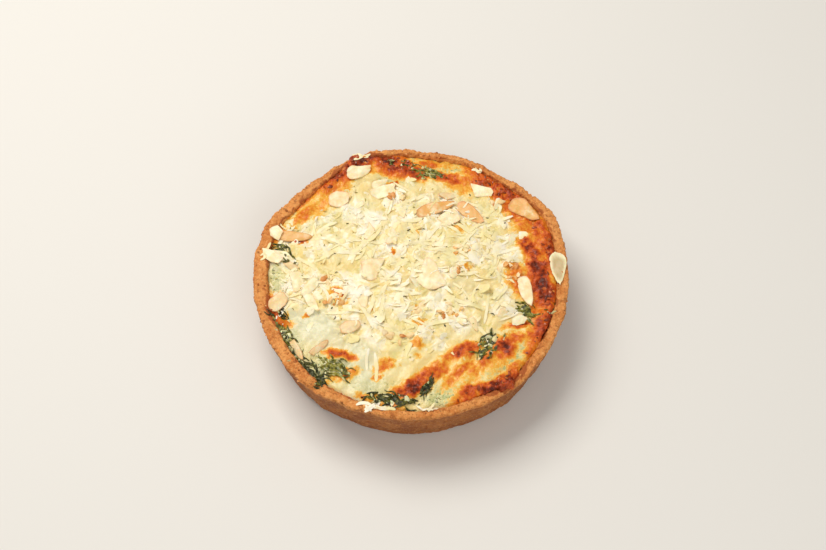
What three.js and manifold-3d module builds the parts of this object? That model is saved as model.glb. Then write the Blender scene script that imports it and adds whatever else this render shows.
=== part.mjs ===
// A small round spinach quiche, baked and turned out of its tin. A thin pastry case with an uneven
// rim holds a filling of baked egg and melted cheese, which has blistered brown in places and run
// over the rim at three of them. Wilted spinach leaves lie sunk in the surface, and grated cheese,
// cheese shavings, flaked almonds and almond crumbs are scattered over the middle.
// Millimetres, +Z up, +Y away from the viewer. The pastry's foot stands on Z = 0.
import * as THREE from "three";
import { mergeVertices } from "three/addons/utils/BufferGeometryUtils.js";
import Module from "manifold-3d";

const wasm = await Module();
wasm.setup();

// Driving dimensions of the pastry case.
const RIM_RADIUS = 56.5;
const FOOT_RADIUS = 51.5;
const RIM_HEIGHT = 23.5;
const WALL = 3.9;
const FLOOR = 4;
const EDGE_ROUND = 0.6;
const SEGMENTS = 72;

// Driving dimensions of the filling.
const FIT_GAP = 0.3;
const FILL_DROP = 1.3;
const DOME_RISE = 1.6;
const HEAP_RISE = 1.5;
const HEAP_RADIUS = 40;
const HEAP_CENTRE = [-2, 6];
const TOP_RINGS = 10;
const OVERRUN_WIDTH = 2.7;
const OVERRUN_RISE = 0.9;

// Waves round the rim: [waves in a turn, depth in mm, angle that sets where the crests are].
const OUTLINE_WAVES = [
  [2, 0.57, 9],
  [3, 0.22, 90],
  [4, 0.25, 57],
  [5, 0.54, 121],
  [6, 0.25, -140],
  [7, 0.2, 99],
  [8, 0.24, -160],
  [9, 0.31, -91],
];
const WALL_WAVES = [
  [1, 0.75, 217],
  [2, 0.82, 0],
];
const RIM_TOP_WAVES = [
  [3, 0.3, 40],
  [5, 0.25, 200],
  [11, 0.22, 15],
  [17, 0.16, 80],
];

// Chips in the rim: [angle, half width in degrees, depth in mm].
const RIM_CHIPS = [
  [233, 3, 1.6],
  [333, 2.5, 1.1],
  [126, 4, 0.7],
];

// Where browned cheese has run over the rim: [angle, half width in degrees].
const OVERRUNS = [
  [113, 14],
  [195, 9],
  [309, 13],
];

// Blistered brown patches: [x, y, length, width, angle in degrees].
const BROWNED = [
  [-18, 46, 24, 7, 25],
  [0, 46, 16, 6, -10],
  [29, 38, 25, 9, -39],
  [45, 7, 26, 9, -75],
  [46, -21, 18, 9, -100],
  [35, -41, 18, 7, 39],
  [31, -28, 13, 7, 60],
  [18, -31, 14, 6, 24],
  [4, -41, 20, 7, 30],
  [18, -43, 20, 9, 35],
  [-25, -31, 10, 4, -14],
  [-40, 27, 14, 6, 46],
];

// Smooth pools of melted cheese: [x, y, length, width, angle in degrees].
const POOLS = [
  [-37, -17, 22, 13, -30],
  [-12, -37, 15, 9, 80],
  [-8, 33, 26, 8, 12],
];

// Spinach leaves sunk in the surface: [node, x, y, length, width, angle in degrees, curl in mm].
const SPINACH = [
  ["spinach_front_left_outer", -35.5, -36.5, 19, 6.5, -46, -1.6],
  ["spinach_front_left_inner", -26.4, -37, 11, 5, -24, 1.2],
  ["spinach_front", -7, -48, 17, 3.8, -8, -1.2],
  ["spinach_front_right", 27, -28.5, 9.5, 5.5, 52, 0.9],
  ["spinach_right", 40.6, -13.6, 7.5, 4.6, -34, 0.7],
  ["spinach_left", -44.2, -22.6, 12, 3.8, -58, -0.9],
  ["spinach_left_back", -46.2, 9.6, 8.5, 5, -39, 0.8],
  ["spinach_back", 8, 44.4, 11, 4, -16, 0.9],
  ["spinach_back_rim", -3.6, 49.8, 11, 2.8, -8, -0.8],
  ["spinach_right_rim", 49.6, -13.8, 5, 3.2, 32, 0.4],
  ["spinach_front_scrap", 5.3, -44.6, 5.5, 2.6, 38, 0.3],
  ["spinach_left_scrap", -46.6, -14.3, 5, 3, -24, -0.3],
];
const LEAF_THICKNESS = 1.1;
const LEAF_SUNK = 0.7;
const LEAF_RIPPLE = 0.45;

// The large flakes, each seen singly: [x, y, length, width, turn, tilt in degrees].
const LARGE_FLAKES = [
  [8.7, 28.4, 13, 6, 18, 8],
  [14, 24.5, 10, 6.5, -20, 6],
  [21, 26.3, 11.5, 7.5, -38, 9],
  [25.2, 36.4, 9.5, 6.5, -12, 12],
  [31.4, 30.9, 4.5, 3, 60, 20],
  [41.3, 28.4, 11.5, 8, -40, 9],
  [52.8, 3.6, 12.5, 6.5, -88, 6],
  [40.8, -5.6, 11.5, 5, -80, 12],
  [-47.4, -10.4, 8, 5.6, 52, 12],
  [-19.4, 45, 8.5, 6, 24, 10],
  [-49.2, 18.8, 8, 5, -45, 14],
  [-42.4, 17.4, 12, 4.5, -3, 6],
  [-50.8, 9.2, 9, 5, -30, 10],
  [-26.4, 33, 8, 6.5, 4, 8],
  [-32.7, -28.6, 8.5, 4, 42, 30],
  [-40.4, -28.6, 8.5, 3.5, -61, 26],
  [6.2, 0.2, 14, 11, -35, 5],
  [-13.7, 3, 10.5, 9, 30, 7],
  [-10, 37, 10, 7, 10, 6],
  [-21.5, -20.5, 7.5, 5, 20, 14],
];
const FLAKE_THICKNESS = 0.9;

// Scattered toppings: how many of each, and the sizes between which they vary.
const SCATTER = { flakes: 14, shreds: 44, crumbs: 12 };
const FLAKE_LENGTH = [4.5, 8.5];
const SHRED_LENGTH = [5, 11];
const SHRED_WIDTH = [0.9, 1.5];
const SHRED_THICKNESS = 0.8;
const CRUMB_RADIUS = [0.9, 1.5];
const SEED = 20417;
const GOLDEN_ANGLE = Math.PI * (3 - Math.sqrt(5));

const radians = (degrees) => (degrees * Math.PI) / 180;
const mix = (a, b, share) => a + (b - a) * share;

// A random number between 0 and 1, the same each time for one seed.
function seededRandom(seed) {
  let state = seed;
  return () => {
    state = (state + 0x6d2b79f5) | 0;
    let bits = Math.imul(state ^ (state >>> 15), 1 | state);
    bits = (bits + Math.imul(bits ^ (bits >>> 7), 61 | bits)) ^ bits;
    return ((bits ^ (bits >>> 14)) >>> 0) / 4294967296;
  };
}
const random = seededRandom(SEED);
const between = ([low, high]) => mix(low, high, random());

function waves(list, angle) {
  return list.reduce((sum, [count, depth, crest]) => sum + depth * Math.cos(count * angle - radians(crest)), 0);
}

// How far an angle is into a stretch of the rim: 1 at its middle, 0 outside it.
function within(angle, middle, halfWidth) {
  const away = Math.abs(Math.atan2(Math.sin(angle - radians(middle)), Math.cos(angle - radians(middle))));
  const share = Math.max(0, 1 - away / radians(halfWidth));
  return share * share * (3 - 2 * share);
}

// The uneven outline, as a share of a true circle.
const outline = (angle) => 1 + waves(OUTLINE_WAVES, angle) / RIM_RADIUS;

// How far the browned cheese covers the rim at an angle, from 0 to 1.
function overrun(angle) {
  return Math.max(...OVERRUNS.map(([middle, halfWidth]) => within(angle, middle, halfWidth)));
}

function rimTop(angle) {
  const chipped = RIM_CHIPS.reduce((sum, [middle, half, depth]) => sum + depth * within(angle, middle, half), 0);
  return RIM_HEIGHT + waves(RIM_TOP_WAVES, angle) - chipped - OVERRUN_RISE * overrun(angle);
}

// The pastry's outer radius at a height, before the outline's waves.
const wallRadius = (height) => mix(FOOT_RADIUS, RIM_RADIUS, height / RIM_HEIGHT);

// How thick the wall is at an angle.
const wallAt = (angle) => WALL + waves(WALL_WAVES, angle);

// The pastry case's inner wall at an angle and height.
const innerRadius = (angle, height) => (wallRadius(height) - wallAt(angle)) * outline(angle);

// Small crags of the baked pastry, in mm.
function crags(angle, height) {
  return 0.16 * Math.sin(23 * angle + 0.9 * height) + 0.12 * Math.sin(37 * angle - 1.7 * height);
}

// 1 in the middle of an oval patch, falling to 0 past its edge.
function patch([x, y, length, width, turn], px, py) {
  const c = Math.cos(radians(turn));
  const s = Math.sin(radians(turn));
  const along = ((px - x) * c + (py - y) * s) / (length / 2);
  const across = ((py - y) * c - (px - x) * s) / (width / 2);
  return Math.exp(-1.2 * (along * along + across * across));
}

// The height of the filling's surface, before any topping.
function surface(x, y) {
  const radius = Math.hypot(x, y);
  const angle = Math.atan2(y, x);
  const share = Math.min(1, radius / innerRadius(angle, RIM_HEIGHT));
  const heapShare = Math.hypot(x - HEAP_CENTRE[0], y - HEAP_CENTRE[1]) / HEAP_RADIUS;
  const dome = DOME_RISE * (1 - share * share) + HEAP_RISE * Math.exp(-1.6 * heapShare ** 4);
  const blisters = BROWNED.reduce((sum, spot) => sum + patch(spot, x, y), 0);
  const pools = POOLS.reduce((sum, spot) => sum + patch(spot, x, y), 0);
  const lumps = 0.3 * Math.sin(0.52 * x + 0.3 * y) * Math.sin(0.47 * y - 0.2 * x) + 0.2 * Math.sin(0.9 * x - 0.7 * y);
  const edge = RIM_HEIGHT + waves(RIM_TOP_WAVES, angle) - FILL_DROP;
  const raised = OVERRUN_RISE * overrun(angle) * Math.max(0, 2 * share - 1);
  return mix(RIM_HEIGHT - FILL_DROP, edge, share ** 4) + dome + raised + 0.7 * Math.min(1, blisters) - 0.6 * pools + lumps;
}

// A closed geometry as a solid that can be joined and cut.
function solid(geometry) {
  const bare = geometry.index ? geometry.toNonIndexed() : geometry.clone();
  bare.deleteAttribute("normal");
  bare.deleteAttribute("uv");
  const merged = mergeVertices(bare, 1e-4);
  const corners = Array.from(merged.index.array);
  const kept = [];
  for (let i = 0; i < corners.length; i += 3) {
    const [a, b, c] = corners.slice(i, i + 3);
    if (a !== b && b !== c && c !== a) kept.push(a, b, c);
  }
  const vertProperties = new Float32Array(merged.getAttribute("position").array);
  return new wasm.Manifold(new wasm.Mesh({ numProp: 3, vertProperties, triVerts: new Uint32Array(kept) }));
}

// The largest piece of a solid, without loose scraps or sealed hollows, as a geometry.
function largestPiece(joined) {
  const pieces = joined.decompose().sort((a, b) => b.volume() - a.volume());
  const mesh = pieces[0].getMesh();
  const geometry = new THREE.BufferGeometry();
  geometry.setAttribute("position", new THREE.BufferAttribute(new Float32Array(mesh.vertProperties), 3));
  geometry.setIndex(new THREE.BufferAttribute(new Uint32Array(mesh.triVerts), 1));
  geometry.computeVertexNormals();
  return geometry;
}

// A lathed body whose profile changes round the turn: profileAt(angle) gives [radius, height] pairs
// from the axis below, round the outside, to the axis above.
function turned(profileAt) {
  const points = profileAt(0).map(([radius, height]) => new THREE.Vector2(radius, height));
  const geometry = new THREE.LatheGeometry(points, SEGMENTS);
  const position = geometry.getAttribute("position");
  for (let i = 0; i <= SEGMENTS; i += 1) {
    const angle = ((i % SEGMENTS) * 2 * Math.PI) / SEGMENTS;
    profileAt(angle).forEach(([radius, height], j) => {
      const at = i * points.length + j;
      position.setXYZ(at, radius * Math.cos(angle), radius * Math.sin(angle), height);
    });
  }
  return geometry;
}

// The pastry case. Grown, it is the space that the toppings over the rim must leave free.
function crustProfile(angle, grown = 0) {
  const top = rimTop(angle);
  const outer = (height) => wallRadius(height) * outline(angle) + crags(angle, height) + grown;
  const inner = (height) => innerRadius(angle, height) - grown;
  return [
    [0, 0],
    [outer(0) - 2.4, 0],
    [outer(0) - 0.5, 0.5],
    [outer(2.2), 2.2],
    [outer(9), 9],
    [outer(16), 16],
    [outer(top - EDGE_ROUND), top - EDGE_ROUND + grown],
    [outer(top) - EDGE_ROUND, top + grown],
    [mix(outer(top), inner(top), 0.55), top + 0.15 * Math.sin(29 * angle) + grown],
    [inner(top) + EDGE_ROUND, top - 0.1 + grown],
    [inner(top), top - EDGE_ROUND + grown],
    [inner(14), 14],
    [inner(FLOOR) - 0.6, FLOOR + 1],
    [inner(FLOOR) - 2, FLOOR + grown],
    [0, FLOOR + grown],
  ];
}

// The filling fills the case, and where it has run over, a thin lip of it lies on the rim.
function fillingProfile(angle) {
  const top = rimTop(angle);
  const side = (height) => innerRadius(angle, height) - FIT_GAP;
  const share = overrun(angle);
  const climbed = Math.min(1, share / 0.3);
  const spread = Math.max(0, (share - 0.3) / 0.7) * OVERRUN_WIDTH;
  const lipUnder = mix(top - FILL_DROP - 0.5, top + FIT_GAP + 0.1, climbed);
  const lipEdge = side(top) - 0.2 + spread;
  const edgeX = lipEdge * Math.cos(angle);
  const edgeY = lipEdge * Math.sin(angle);
  const profile = [
    [0, FLOOR + FIT_GAP],
    [side(FLOOR) - 2.4, FLOOR + FIT_GAP],
    [side(FLOOR) - 0.9, FLOOR + 1.2],
    [side(14), 14],
    [side(top - 3), top - 3],
    [side(top) - 0.2, lipUnder],
    [lipEdge, lipUnder + 0.05],
    [lipEdge - 0.1 * spread, Math.max(lipUnder + 0.35, surface(edgeX, edgeY) - 0.35)],
  ];
  for (let ring = 1; ring < TOP_RINGS; ring += 1) {
    const radius = (lipEdge - 0.35 * spread - 0.8) * (1 - (ring - 1) / (TOP_RINGS - 1));
    profile.push([radius, surface(radius * Math.cos(angle), radius * Math.sin(angle))]);
  }
  profile.push([0, surface(0, 0)]);
  return profile;
}

// A wilted leaf lying along the surface, rippled, with its two faces split alike. Grown, it is the
// pocket that the leaf lies in.
function leaf([, x, y, length, width, turn, curl], grown = 0) {
  const steps = Math.max(5, Math.round(length / 1.6));
  const rows = 3;
  const top = [];
  const bottom = [];
  const c = Math.cos(radians(turn));
  const s = Math.sin(radians(turn));
  const placed = (along, across) => [x + along * c - across * s, y + along * s + across * c];
  for (let i = 0; i <= steps; i += 1) {
    const share = i / steps - 0.5;
    const half = (width / 2) * Math.max(0.25, Math.cos(0.92 * Math.PI * share) ** 0.7);
    const bend = curl * Math.cos(Math.PI * share);
    for (let j = 0; j <= rows; j += 1) {
      const side = 2 * (j / rows) - 1;
      const ripple = LEAF_RIPPLE * Math.sin(1.2 * length * share + 2.1 * j);
      const low = surface(...placed(share * length, side * half + bend)) - LEAF_SUNK + ripple;
      const [px, py] = placed(share * (length + 2 * grown), side * (half + grown) + bend);
      bottom.push(new THREE.Vector3(px, py, low - 1.6 * grown));
      top.push(new THREE.Vector3(px, py, low + LEAF_THICKNESS + (grown ? 6 : 0)));
    }
  }
  const columns = rows + 1;
  const vertices = [...top, ...bottom];
  const under = top.length;
  const faces = [];
  for (let i = 0; i < steps; i += 1) {
    for (let j = 0; j < rows; j += 1) {
      const a = i * columns + j;
      const b = a + columns;
      faces.push(a, b, b + 1, a, b + 1, a + 1);
      faces.push(under + a, under + b + 1, under + b, under + a, under + a + 1, under + b + 1);
    }
  }
  const border = [];
  for (let i = 0; i < steps; i += 1) border.push(i * columns);
  for (let j = 0; j < rows; j += 1) border.push(steps * columns + j);
  for (let i = steps; i > 0; i -= 1) border.push(i * columns + rows);
  for (let j = rows; j > 0; j -= 1) border.push(j);
  border.forEach((from, k) => {
    const to = border[(k + 1) % border.length];
    faces.push(from, under + from, under + to, from, under + to, to);
  });
  const geometry = new THREE.BufferGeometry().setFromPoints(vertices);
  geometry.setIndex(faces);
  return geometry;
}

// A flat flake with an uneven outline: a slice of almond or a shaving of hard cheese.
function flake(length, width, corners, depth = FLAKE_THICKNESS) {
  const shape = new THREE.Shape();
  for (let i = 0; i < corners; i += 1) {
    const angle = (2 * Math.PI * (i + between([-0.25, 0.25]))) / corners;
    const reach = between([0.8, 1.05]) / 2;
    const point = [length * reach * Math.cos(angle), width * reach * Math.sin(angle)];
    if (i === 0) shape.moveTo(...point);
    else shape.lineTo(...point);
  }
  shape.closePath();
  return new THREE.ExtrudeGeometry(shape, { depth, bevelEnabled: false });
}

// A strip of grated cheese, curved along its length.
function shred(length, width) {
  const bow = between([-0.22, 0.22]) * length;
  const shape = new THREE.Shape();
  shape.moveTo(-length / 2, -width / 2);
  shape.lineTo(0, bow - width / 2);
  shape.lineTo(length / 2, -width / 2);
  shape.lineTo(length / 2, width / 3);
  shape.lineTo(0, bow + width / 2);
  shape.lineTo(-length / 2, width / 3);
  shape.closePath();
  return new THREE.ExtrudeGeometry(shape, { depth: SHRED_THICKNESS, bevelEnabled: false });
}

// Lays a piece on the surface, turned and tilted, with its underside sunk in.
function laid(geometry, x, y, turn, tilt, sunk) {
  const placing = new THREE.Object3D();
  placing.position.set(x, y, surface(x, y) - sunk);
  placing.rotation.set(radians(tilt), radians(tilt * 0.6), radians(turn), "ZYX");
  placing.updateMatrix();
  return geometry.applyMatrix4(placing.matrix);
}

// Points spread evenly over the heap in the middle, on a sunflower spiral with a little scatter.
function heapPoint(index, count, reach, offset) {
  const radius = reach * Math.sqrt((index + 0.5) / count);
  const angle = index * GOLDEN_ANGLE + offset;
  const scatter = 0.06 * reach;
  return [
    HEAP_CENTRE[0] + radius * Math.cos(angle) + between([-scatter, scatter]),
    HEAP_CENTRE[1] + 0.92 * radius * Math.sin(angle) + between([-scatter, scatter]),
  ];
}

// How far a flake at a point has to rise to lie on the rim as well, or 0 if it is clear of the rim.
function liftOverRim(x, y, length) {
  const angle = Math.atan2(y, x);
  const clear = Math.hypot(x, y) + 0.3 * length < innerRadius(angle, RIM_HEIGHT);
  return clear ? 0 : Math.max(0, rimTop(angle) + FIT_GAP - surface(x, y));
}

function toppings() {
  const pieces = LARGE_FLAKES.map(([x, y, length, width, turn, tilt]) => {
    const depth = FLAKE_THICKNESS + liftOverRim(x, y, width);
    return laid(flake(length, width, 8, depth), x, y, turn, tilt, 0.15);
  });
  for (let i = 0; i < SCATTER.flakes; i += 1) {
    const length = between(FLAKE_LENGTH);
    const [x, y] = heapPoint(i, SCATTER.flakes, HEAP_RADIUS, 0.4);
    pieces.push(laid(flake(length, length * between([0.55, 0.8]), 6), x, y, between([0, 360]), between([-16, 16]), 0.2));
  }
  for (let i = 0; i < SCATTER.shreds; i += 1) {
    const [x, y] = heapPoint(i, SCATTER.shreds, HEAP_RADIUS + 3, 1.7);
    const strip = shred(between(SHRED_LENGTH), between(SHRED_WIDTH));
    pieces.push(laid(strip, x, y, between([0, 360]), between([-9, 9]), 0.1));
  }
  for (let i = 0; i < SCATTER.crumbs; i += 1) {
    const crumb = new THREE.IcosahedronGeometry(between(CRUMB_RADIUS), 0).scale(1, between([0.6, 1]), 0.8);
    const [x, y] = heapPoint(i, SCATTER.crumbs, HEAP_RADIUS + 4, 2.9);
    pieces.push(laid(crumb, x, y, between([0, 360]), 0, -0.25));
  }
  return pieces;
}

// A body with a pocket for each leaf that reaches it.
function pocketed(body) {
  return SPINACH.reduce((rest, spec) => rest.subtract(solid(leaf(spec, FIT_GAP))), body);
}

function crust() {
  return largestPiece(pocketed(solid(turned(crustProfile))));
}

// The filling with its toppings fused on, clear of the rim and of the leaves.
function filling() {
  const topped = toppings().reduce((body, piece) => body.add(solid(piece)), solid(turned(fillingProfile)));
  const rimSpace = solid(turned((angle) => crustProfile(angle, FIT_GAP - 0.02)));
  return largestPiece(pocketed(topped.subtract(rimSpace)));
}

// Moves everything so that the pastry's outline is centred on the origin.
function centring() {
  const xs = [];
  const ys = [];
  for (let i = 0; i < SEGMENTS; i += 1) {
    const angle = (i * 2 * Math.PI) / SEGMENTS;
    const radius = Math.max(...crustProfile(angle).map(([reach]) => reach));
    xs.push(radius * Math.cos(angle));
    ys.push(radius * Math.sin(angle));
  }
  const middle = (list) => (Math.max(...list) + Math.min(...list)) / 2;
  return [-middle(xs), -middle(ys), 0];
}

const PASTRY = new THREE.MeshStandardMaterial({ color: 0xd0873f, roughness: 0.8, metalness: 0 });
const BAKED_CHEESE = new THREE.MeshStandardMaterial({ color: 0xf3dfa8, roughness: 0.45, metalness: 0 });
const WILTED_LEAF = new THREE.MeshStandardMaterial({ color: 0x2f3a1a, roughness: 0.5, metalness: 0 });

function named(name, geometry, material) {
  const mesh = new THREE.Mesh(geometry, material);
  mesh.name = name;
  return mesh;
}

const quiche = new THREE.Group();
quiche.add(named("crust", crust(), PASTRY));
quiche.add(named("filling", filling(), BAKED_CHEESE));
for (const spec of SPINACH) quiche.add(named(spec[0], leaf(spec), WILTED_LEAF));
quiche.position.set(...centring());

export default quiche;
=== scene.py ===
import math
import random

import bmesh
import bpy
import numpy as np
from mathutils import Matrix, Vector, noise
from mathutils.bvhtree import BVHTree


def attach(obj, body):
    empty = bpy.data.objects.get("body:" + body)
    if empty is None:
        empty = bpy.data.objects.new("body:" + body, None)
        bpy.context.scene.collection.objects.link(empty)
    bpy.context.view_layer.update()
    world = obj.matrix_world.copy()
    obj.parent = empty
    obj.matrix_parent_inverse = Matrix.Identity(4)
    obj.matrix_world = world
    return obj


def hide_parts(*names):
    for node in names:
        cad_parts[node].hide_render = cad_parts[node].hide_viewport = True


# A small round spinach quiche, baked and turned out of its tin. The shapes are worked out in
# millimetres in the same way as the fitted part, and turned into metres where meshes are made.
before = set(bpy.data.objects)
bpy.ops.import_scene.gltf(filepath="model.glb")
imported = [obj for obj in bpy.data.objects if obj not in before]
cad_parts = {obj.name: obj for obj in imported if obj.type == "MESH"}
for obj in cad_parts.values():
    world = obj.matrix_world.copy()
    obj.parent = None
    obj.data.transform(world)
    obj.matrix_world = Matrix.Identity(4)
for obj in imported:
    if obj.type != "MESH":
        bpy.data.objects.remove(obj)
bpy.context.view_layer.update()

MM = 0.001
SEED = 20417

# The pastry case.
RIM_RADIUS = 56.5
FOOT_RADIUS = 51.5
RIM_HEIGHT = 23.5
WALL = 3.9
FLOOR = 4.0
EDGE_ROUND = 0.6
PART_SIDES = 72
CRUST_SIDES = 720
# Relief of the pastry, in mm: uneven places, grain and pits, and on the rim crumbs and small chips.
UNEVEN_DEPTH = 0.2
GRAIN_DEPTH = 0.17
PIT_DEPTH = 0.4
CRUMB_DEPTH = 0.3
CHIP_DEPTH = 0.4
# How many steps each stretch of the case's profile is split into, from the middle of its foot.
CASE_STEPS = [8, 4, 4, 12, 12, 13, 4, 4, 4, 3, 6, 2, 1, 2]

# The filling.
FIT_GAP = 0.3
FILL_DROP = 1.3
DOME_RISE = 1.6
HEAP_RISE = 1.5
HEAP_RADIUS = 40
HEAP_CENTRE = (-2, 6)
OVERRUN_WIDTH = 2.7
OVERRUN_RISE = 0.9
FILLING_CELLS = 309
# Relief of the filling, in mm: swells and ripples, coarse and fine bubbles and ridges where it is
# browned, lumps and curds in the custard, and how much lower it lies under the heap.
SWELL_DEPTH = 0.3
RIPPLE_DEPTH = 0.14
BUBBLE_DEPTHS = (0.4, 0.3)
RIDGE_DEPTH = 0.55
CUSTARD_DEPTHS = (0.55, 0.35)
HEAP_SUNK = 0.5
# Heights of the rings that close the filling under its surface.
FILLING_RINGS = (17.0, 10.0, FLOOR + FIT_GAP)
# The heap of toppings lies in two ovals: (x, y, length, width, angle).
HEAP_OVALS = [(*HEAP_CENTRE, 90, 76, 0), (-44, 3, 22, 38, 0)]

# The cheese melted into the top of the filling: how many pieces there are, how often one is a thin
# shaving and not a grated strand, their smallest and largest sizes, and how far they stand out.
MELTED_PIECES = 1180
SHAVING_EVERY = 4
STRAND_LENGTH, STRAND_WIDTH, STRAND_BEND = (5, 14), (0.8, 1.7), (-1.3, 1.3)
SHAVING_SIZE = (3.5, 9)
MELTED_HEIGHT = (0.1, 0.6)
# Long soft shreds that lie on the heap besides those that are each seen singly: how many, and their
# smallest and largest length, width, turn and bow. They are tried at places between these ends of x
# and y, and lie where the heap covers more than this share.
LOOSE_SHREDS = 90
LOOSE_SHRED_RANGES = [(6, 13), (0.8, 1.5), (0, 180), (-1.2, 1.2)]
LOOSE_SHRED_PLACES = [(-50, 50), (-40, 48)]
LOOSE_SHRED_COVER = 0.45

# Waves round the rim: (waves in a turn, depth, angle that sets where the crests are).
OUTLINE_WAVES = [
    (2, 0.57, 9),
    (3, 0.22, 90),
    (4, 0.25, 57),
    (5, 0.54, 121),
    (6, 0.25, -140),
    (7, 0.2, 99),
    (8, 0.24, -160),
    (9, 0.31, -91),
]
WALL_WAVES = [(1, 0.75, 217), (2, 0.82, 0)]
RIM_TOP_WAVES = [(3, 0.3, 40), (5, 0.25, 200), (11, 0.22, 15), (17, 0.16, 80)]

# Chips in the rim: (angle, half width in degrees, depth).
RIM_CHIPS = [(233, 3, 1.6), (333, 2.5, 1.1), (126, 4, 0.7)]

# Where browned cheese has run over the rim: (angle, half width in degrees, how far across it).
OVERRUNS = [(113, 14, 1.0), (195, 9, 0.4), (309, 13, 1.0)]

# The raised blisters and the smooth pools of the fitted part: (x, y, length, width, angle).
RAISED = [
    (-18, 46, 24, 7, 25),
    (0, 46, 16, 6, -10),
    (29, 38, 25, 9, -39),
    (45, 7, 26, 9, -75),
    (46, -21, 18, 9, -100),
    (35, -41, 18, 7, 39),
    (31, -28, 13, 7, 60),
    (18, -31, 14, 6, 24),
    (4, -41, 20, 7, 30),
    (18, -43, 20, 9, 35),
    (-25, -31, 10, 4, -14),
    (-40, 27, 14, 6, 46),
]
SUNKEN = [(-37, -17, 22, 13, -30), (-12, -37, 15, 9, 80), (-8, 33, 26, 8, 12)]

# Browned cheese: (x, y, length, width, angle, how dark from yellow 0.3 to almost black 1).
BROWNED = [
    (-19, 50.5, 28, 8, 24, 0.96),
    (-23.5, 45.2, 20, 7, 26, 0.72),
    (-3, 46.8, 18, 6.5, -10, 0.86),
    (-9.5, 50.8, 13, 6, -2, 0.94),
    (-6.6, 40.4, 3.4, 2.4, 0, 0.86),
    (8, 50, 22, 5, -8, 0.3),
    (6, 49.5, 6, 3, 0, 0.6),
    (13, 43.2, 16, 4.5, -14, 0.66),
    (18, 39.5, 12, 7, -30, 0.36),
    (28, 41.5, 18, 8, -38, 0.76),
    (34, 36, 20, 8, -44, 0.68),
    (37.5, 29, 9, 6, -50, 0.72),
    (47.4, 18, 17, 8, -72, 0.64),
    (42.9, 21.5, 18, 9, -62, 0.52),
    (45.5, 25, 12, 6, -60, 0.56),
    (43.6, 11.6, 12, 6, -62, 0.84),
    (45.8, 3.5, 14, 8, -78, 0.9),
    (47.6, -5, 14, 8, -84, 0.95),
    (38.5, -1, 15, 7, -72, 0.52),
    (44.6, -13, 10, 7, -82, 0.58),
    (46.4, -20.6, 14, 8, -103, 0.76),
    (42, -28, 9, 4, -115, 0.56),
    (36, -41, 17, 5.5, 39, 0.84),
    (27.5, -46.5, 15, 4.6, 30, 0.82),
    (32.8, -28, 8, 7, -110, 0.9),
    (37, -24, 8, 3.5, 20, 0.62),
    (19.4, -29.2, 12, 5, 24, 0.74),
    (13.5, -31.5, 6, 3, 30, 0.5),
    (25, -34.4, 12, 4, 42, 0.56),
    (30.5, -34, 11, 6, 45, 0.3),
    (7, -38.6, 13, 5.4, 34, 0.7),
    (0.3, -44, 11, 5.4, 24, 0.9),
    (17.5, -36.8, 11, 4, 36, 0.6),
    (14.5, -40.5, 11, 3.4, 44, 0.4),
    (20.6, -44.8, 9, 4.8, 22, 0.74),
    (19, -48, 12, 3.6, 20, 0.66),
    (22, -37, 22, 8, 40, 0.24),
    (-25.3, -31, 10, 3.4, -14, 0.78),
    (-22.4, -38.4, 8, 3.6, 24, 0.46),
    (-27, -40, 7, 3, 30, 0.35),
    (-15, -47, 8, 3, -10, 0.4),
    (-51, -11, 11, 4.5, -76, 0.76),
    (-47.5, -17, 9, 3, -18, 0.66),
    (-38.5, 27.5, 13, 4.5, 46, 0.5),
    (-34, 31, 18, 7, 40, 0.34),
    (-45, 28.5, 15, 3, 50, 0.78),
    (-41, 31.5, 12, 2.6, 44, 0.66),
    (-28, 41, 13, 5, 38, 0.64),
    (-28, 37, 14, 4, 30, 0.34),
    (-26, -6.5, 5.5, 4, -35, 0.6),
    (-25, -9.5, 4, 5, 10, 0.42),
    (-40.4, 15.6, 5, 2.2, 10, 0.86),
    (-37.8, -14.4, 2, 1.8, 0, 0.5),
    (-9, -35.3, 7, 4, 10, 0.44),
    (-12, -39.8, 2.4, 2.2, 10, 0.52),
    (2, -27, 4.4, 3.4, 0, 0.4),
    (2, -31.5, 2.4, 2.2, 0, 0.36),
    (3.1, -19.1, 4.4, 3.2, 0, 0.38),
    (-6.9, 10.3, 2, 1.8, 20, 0.56),
    (17.5, 20.5, 5, 4, 20, 0.36),
    (16.8, 9.8, 3, 2, 20, 0.42),
    (20, 3.7, 4, 1.6, 30, 0.42),
    (36, 1.5, 5, 5, 0, 0.42),
    (14.7, -14.4, 6, 3, 10, 0.36),
    (0.9, -13.2, 3.4, 2.6, 10, 0.4),
    (-14, -13.2, 2, 1.8, 10, 0.42),
    (1.3, 18.9, 3, 1.4, -70, 0.4),
    (38, -19, 12, 3, 12, 0.62),
]
# Stretches where the filling is browned along its edge: (angle, half width, how dark).
BROWNED_EDGE = [
    (118, 34, 0.84),
    (46, 26, 0.78),
    (14, 26, 0.82),
    (-20, 24, 0.76),
    (-57, 27, 0.86),
    (195, 14, 0.8),
    (262, 10, 0.45),
    (160, 12, 0.5),
]

# Soft pale green egg custard that shows between the cheese: (x, y, length, width, angle, strength).
CUSTARD = [
    (12, 49.5, 26, 5, -12, 0.9),
    (38.4, -31.4, 12, 8, -122, 1.0),
    (34.6, -35, 10, 4, 30, 1.0),
    (10.5, -46.8, 12, 6, 12, 1.0),
    (-44, -24, 16, 6, -60, 0.8),
    (-48.5, -1.5, 16, 6, -88, 0.8),
    (-29, -36, 17, 10, -20, 0.75),
    (-10, -44, 18, 6, -6, 0.5),
    (-28, 25, 22, 6, 20, 0.35),
    (-6, 42, 12, 4, 0, 0.55),
    (24, -40, 12, 4, 35, 0.4),
]
# Smooth white melted cheese.
POOLS = [
    (-34, -18, 24, 15, -20, 1.0),
    (-18, -34, 12, 24, 12, 0.9),
    (-14, 19, 34, 12, 8, 0.3),
    (10, -4, 22, 10, 0, 0.4),
]
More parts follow.
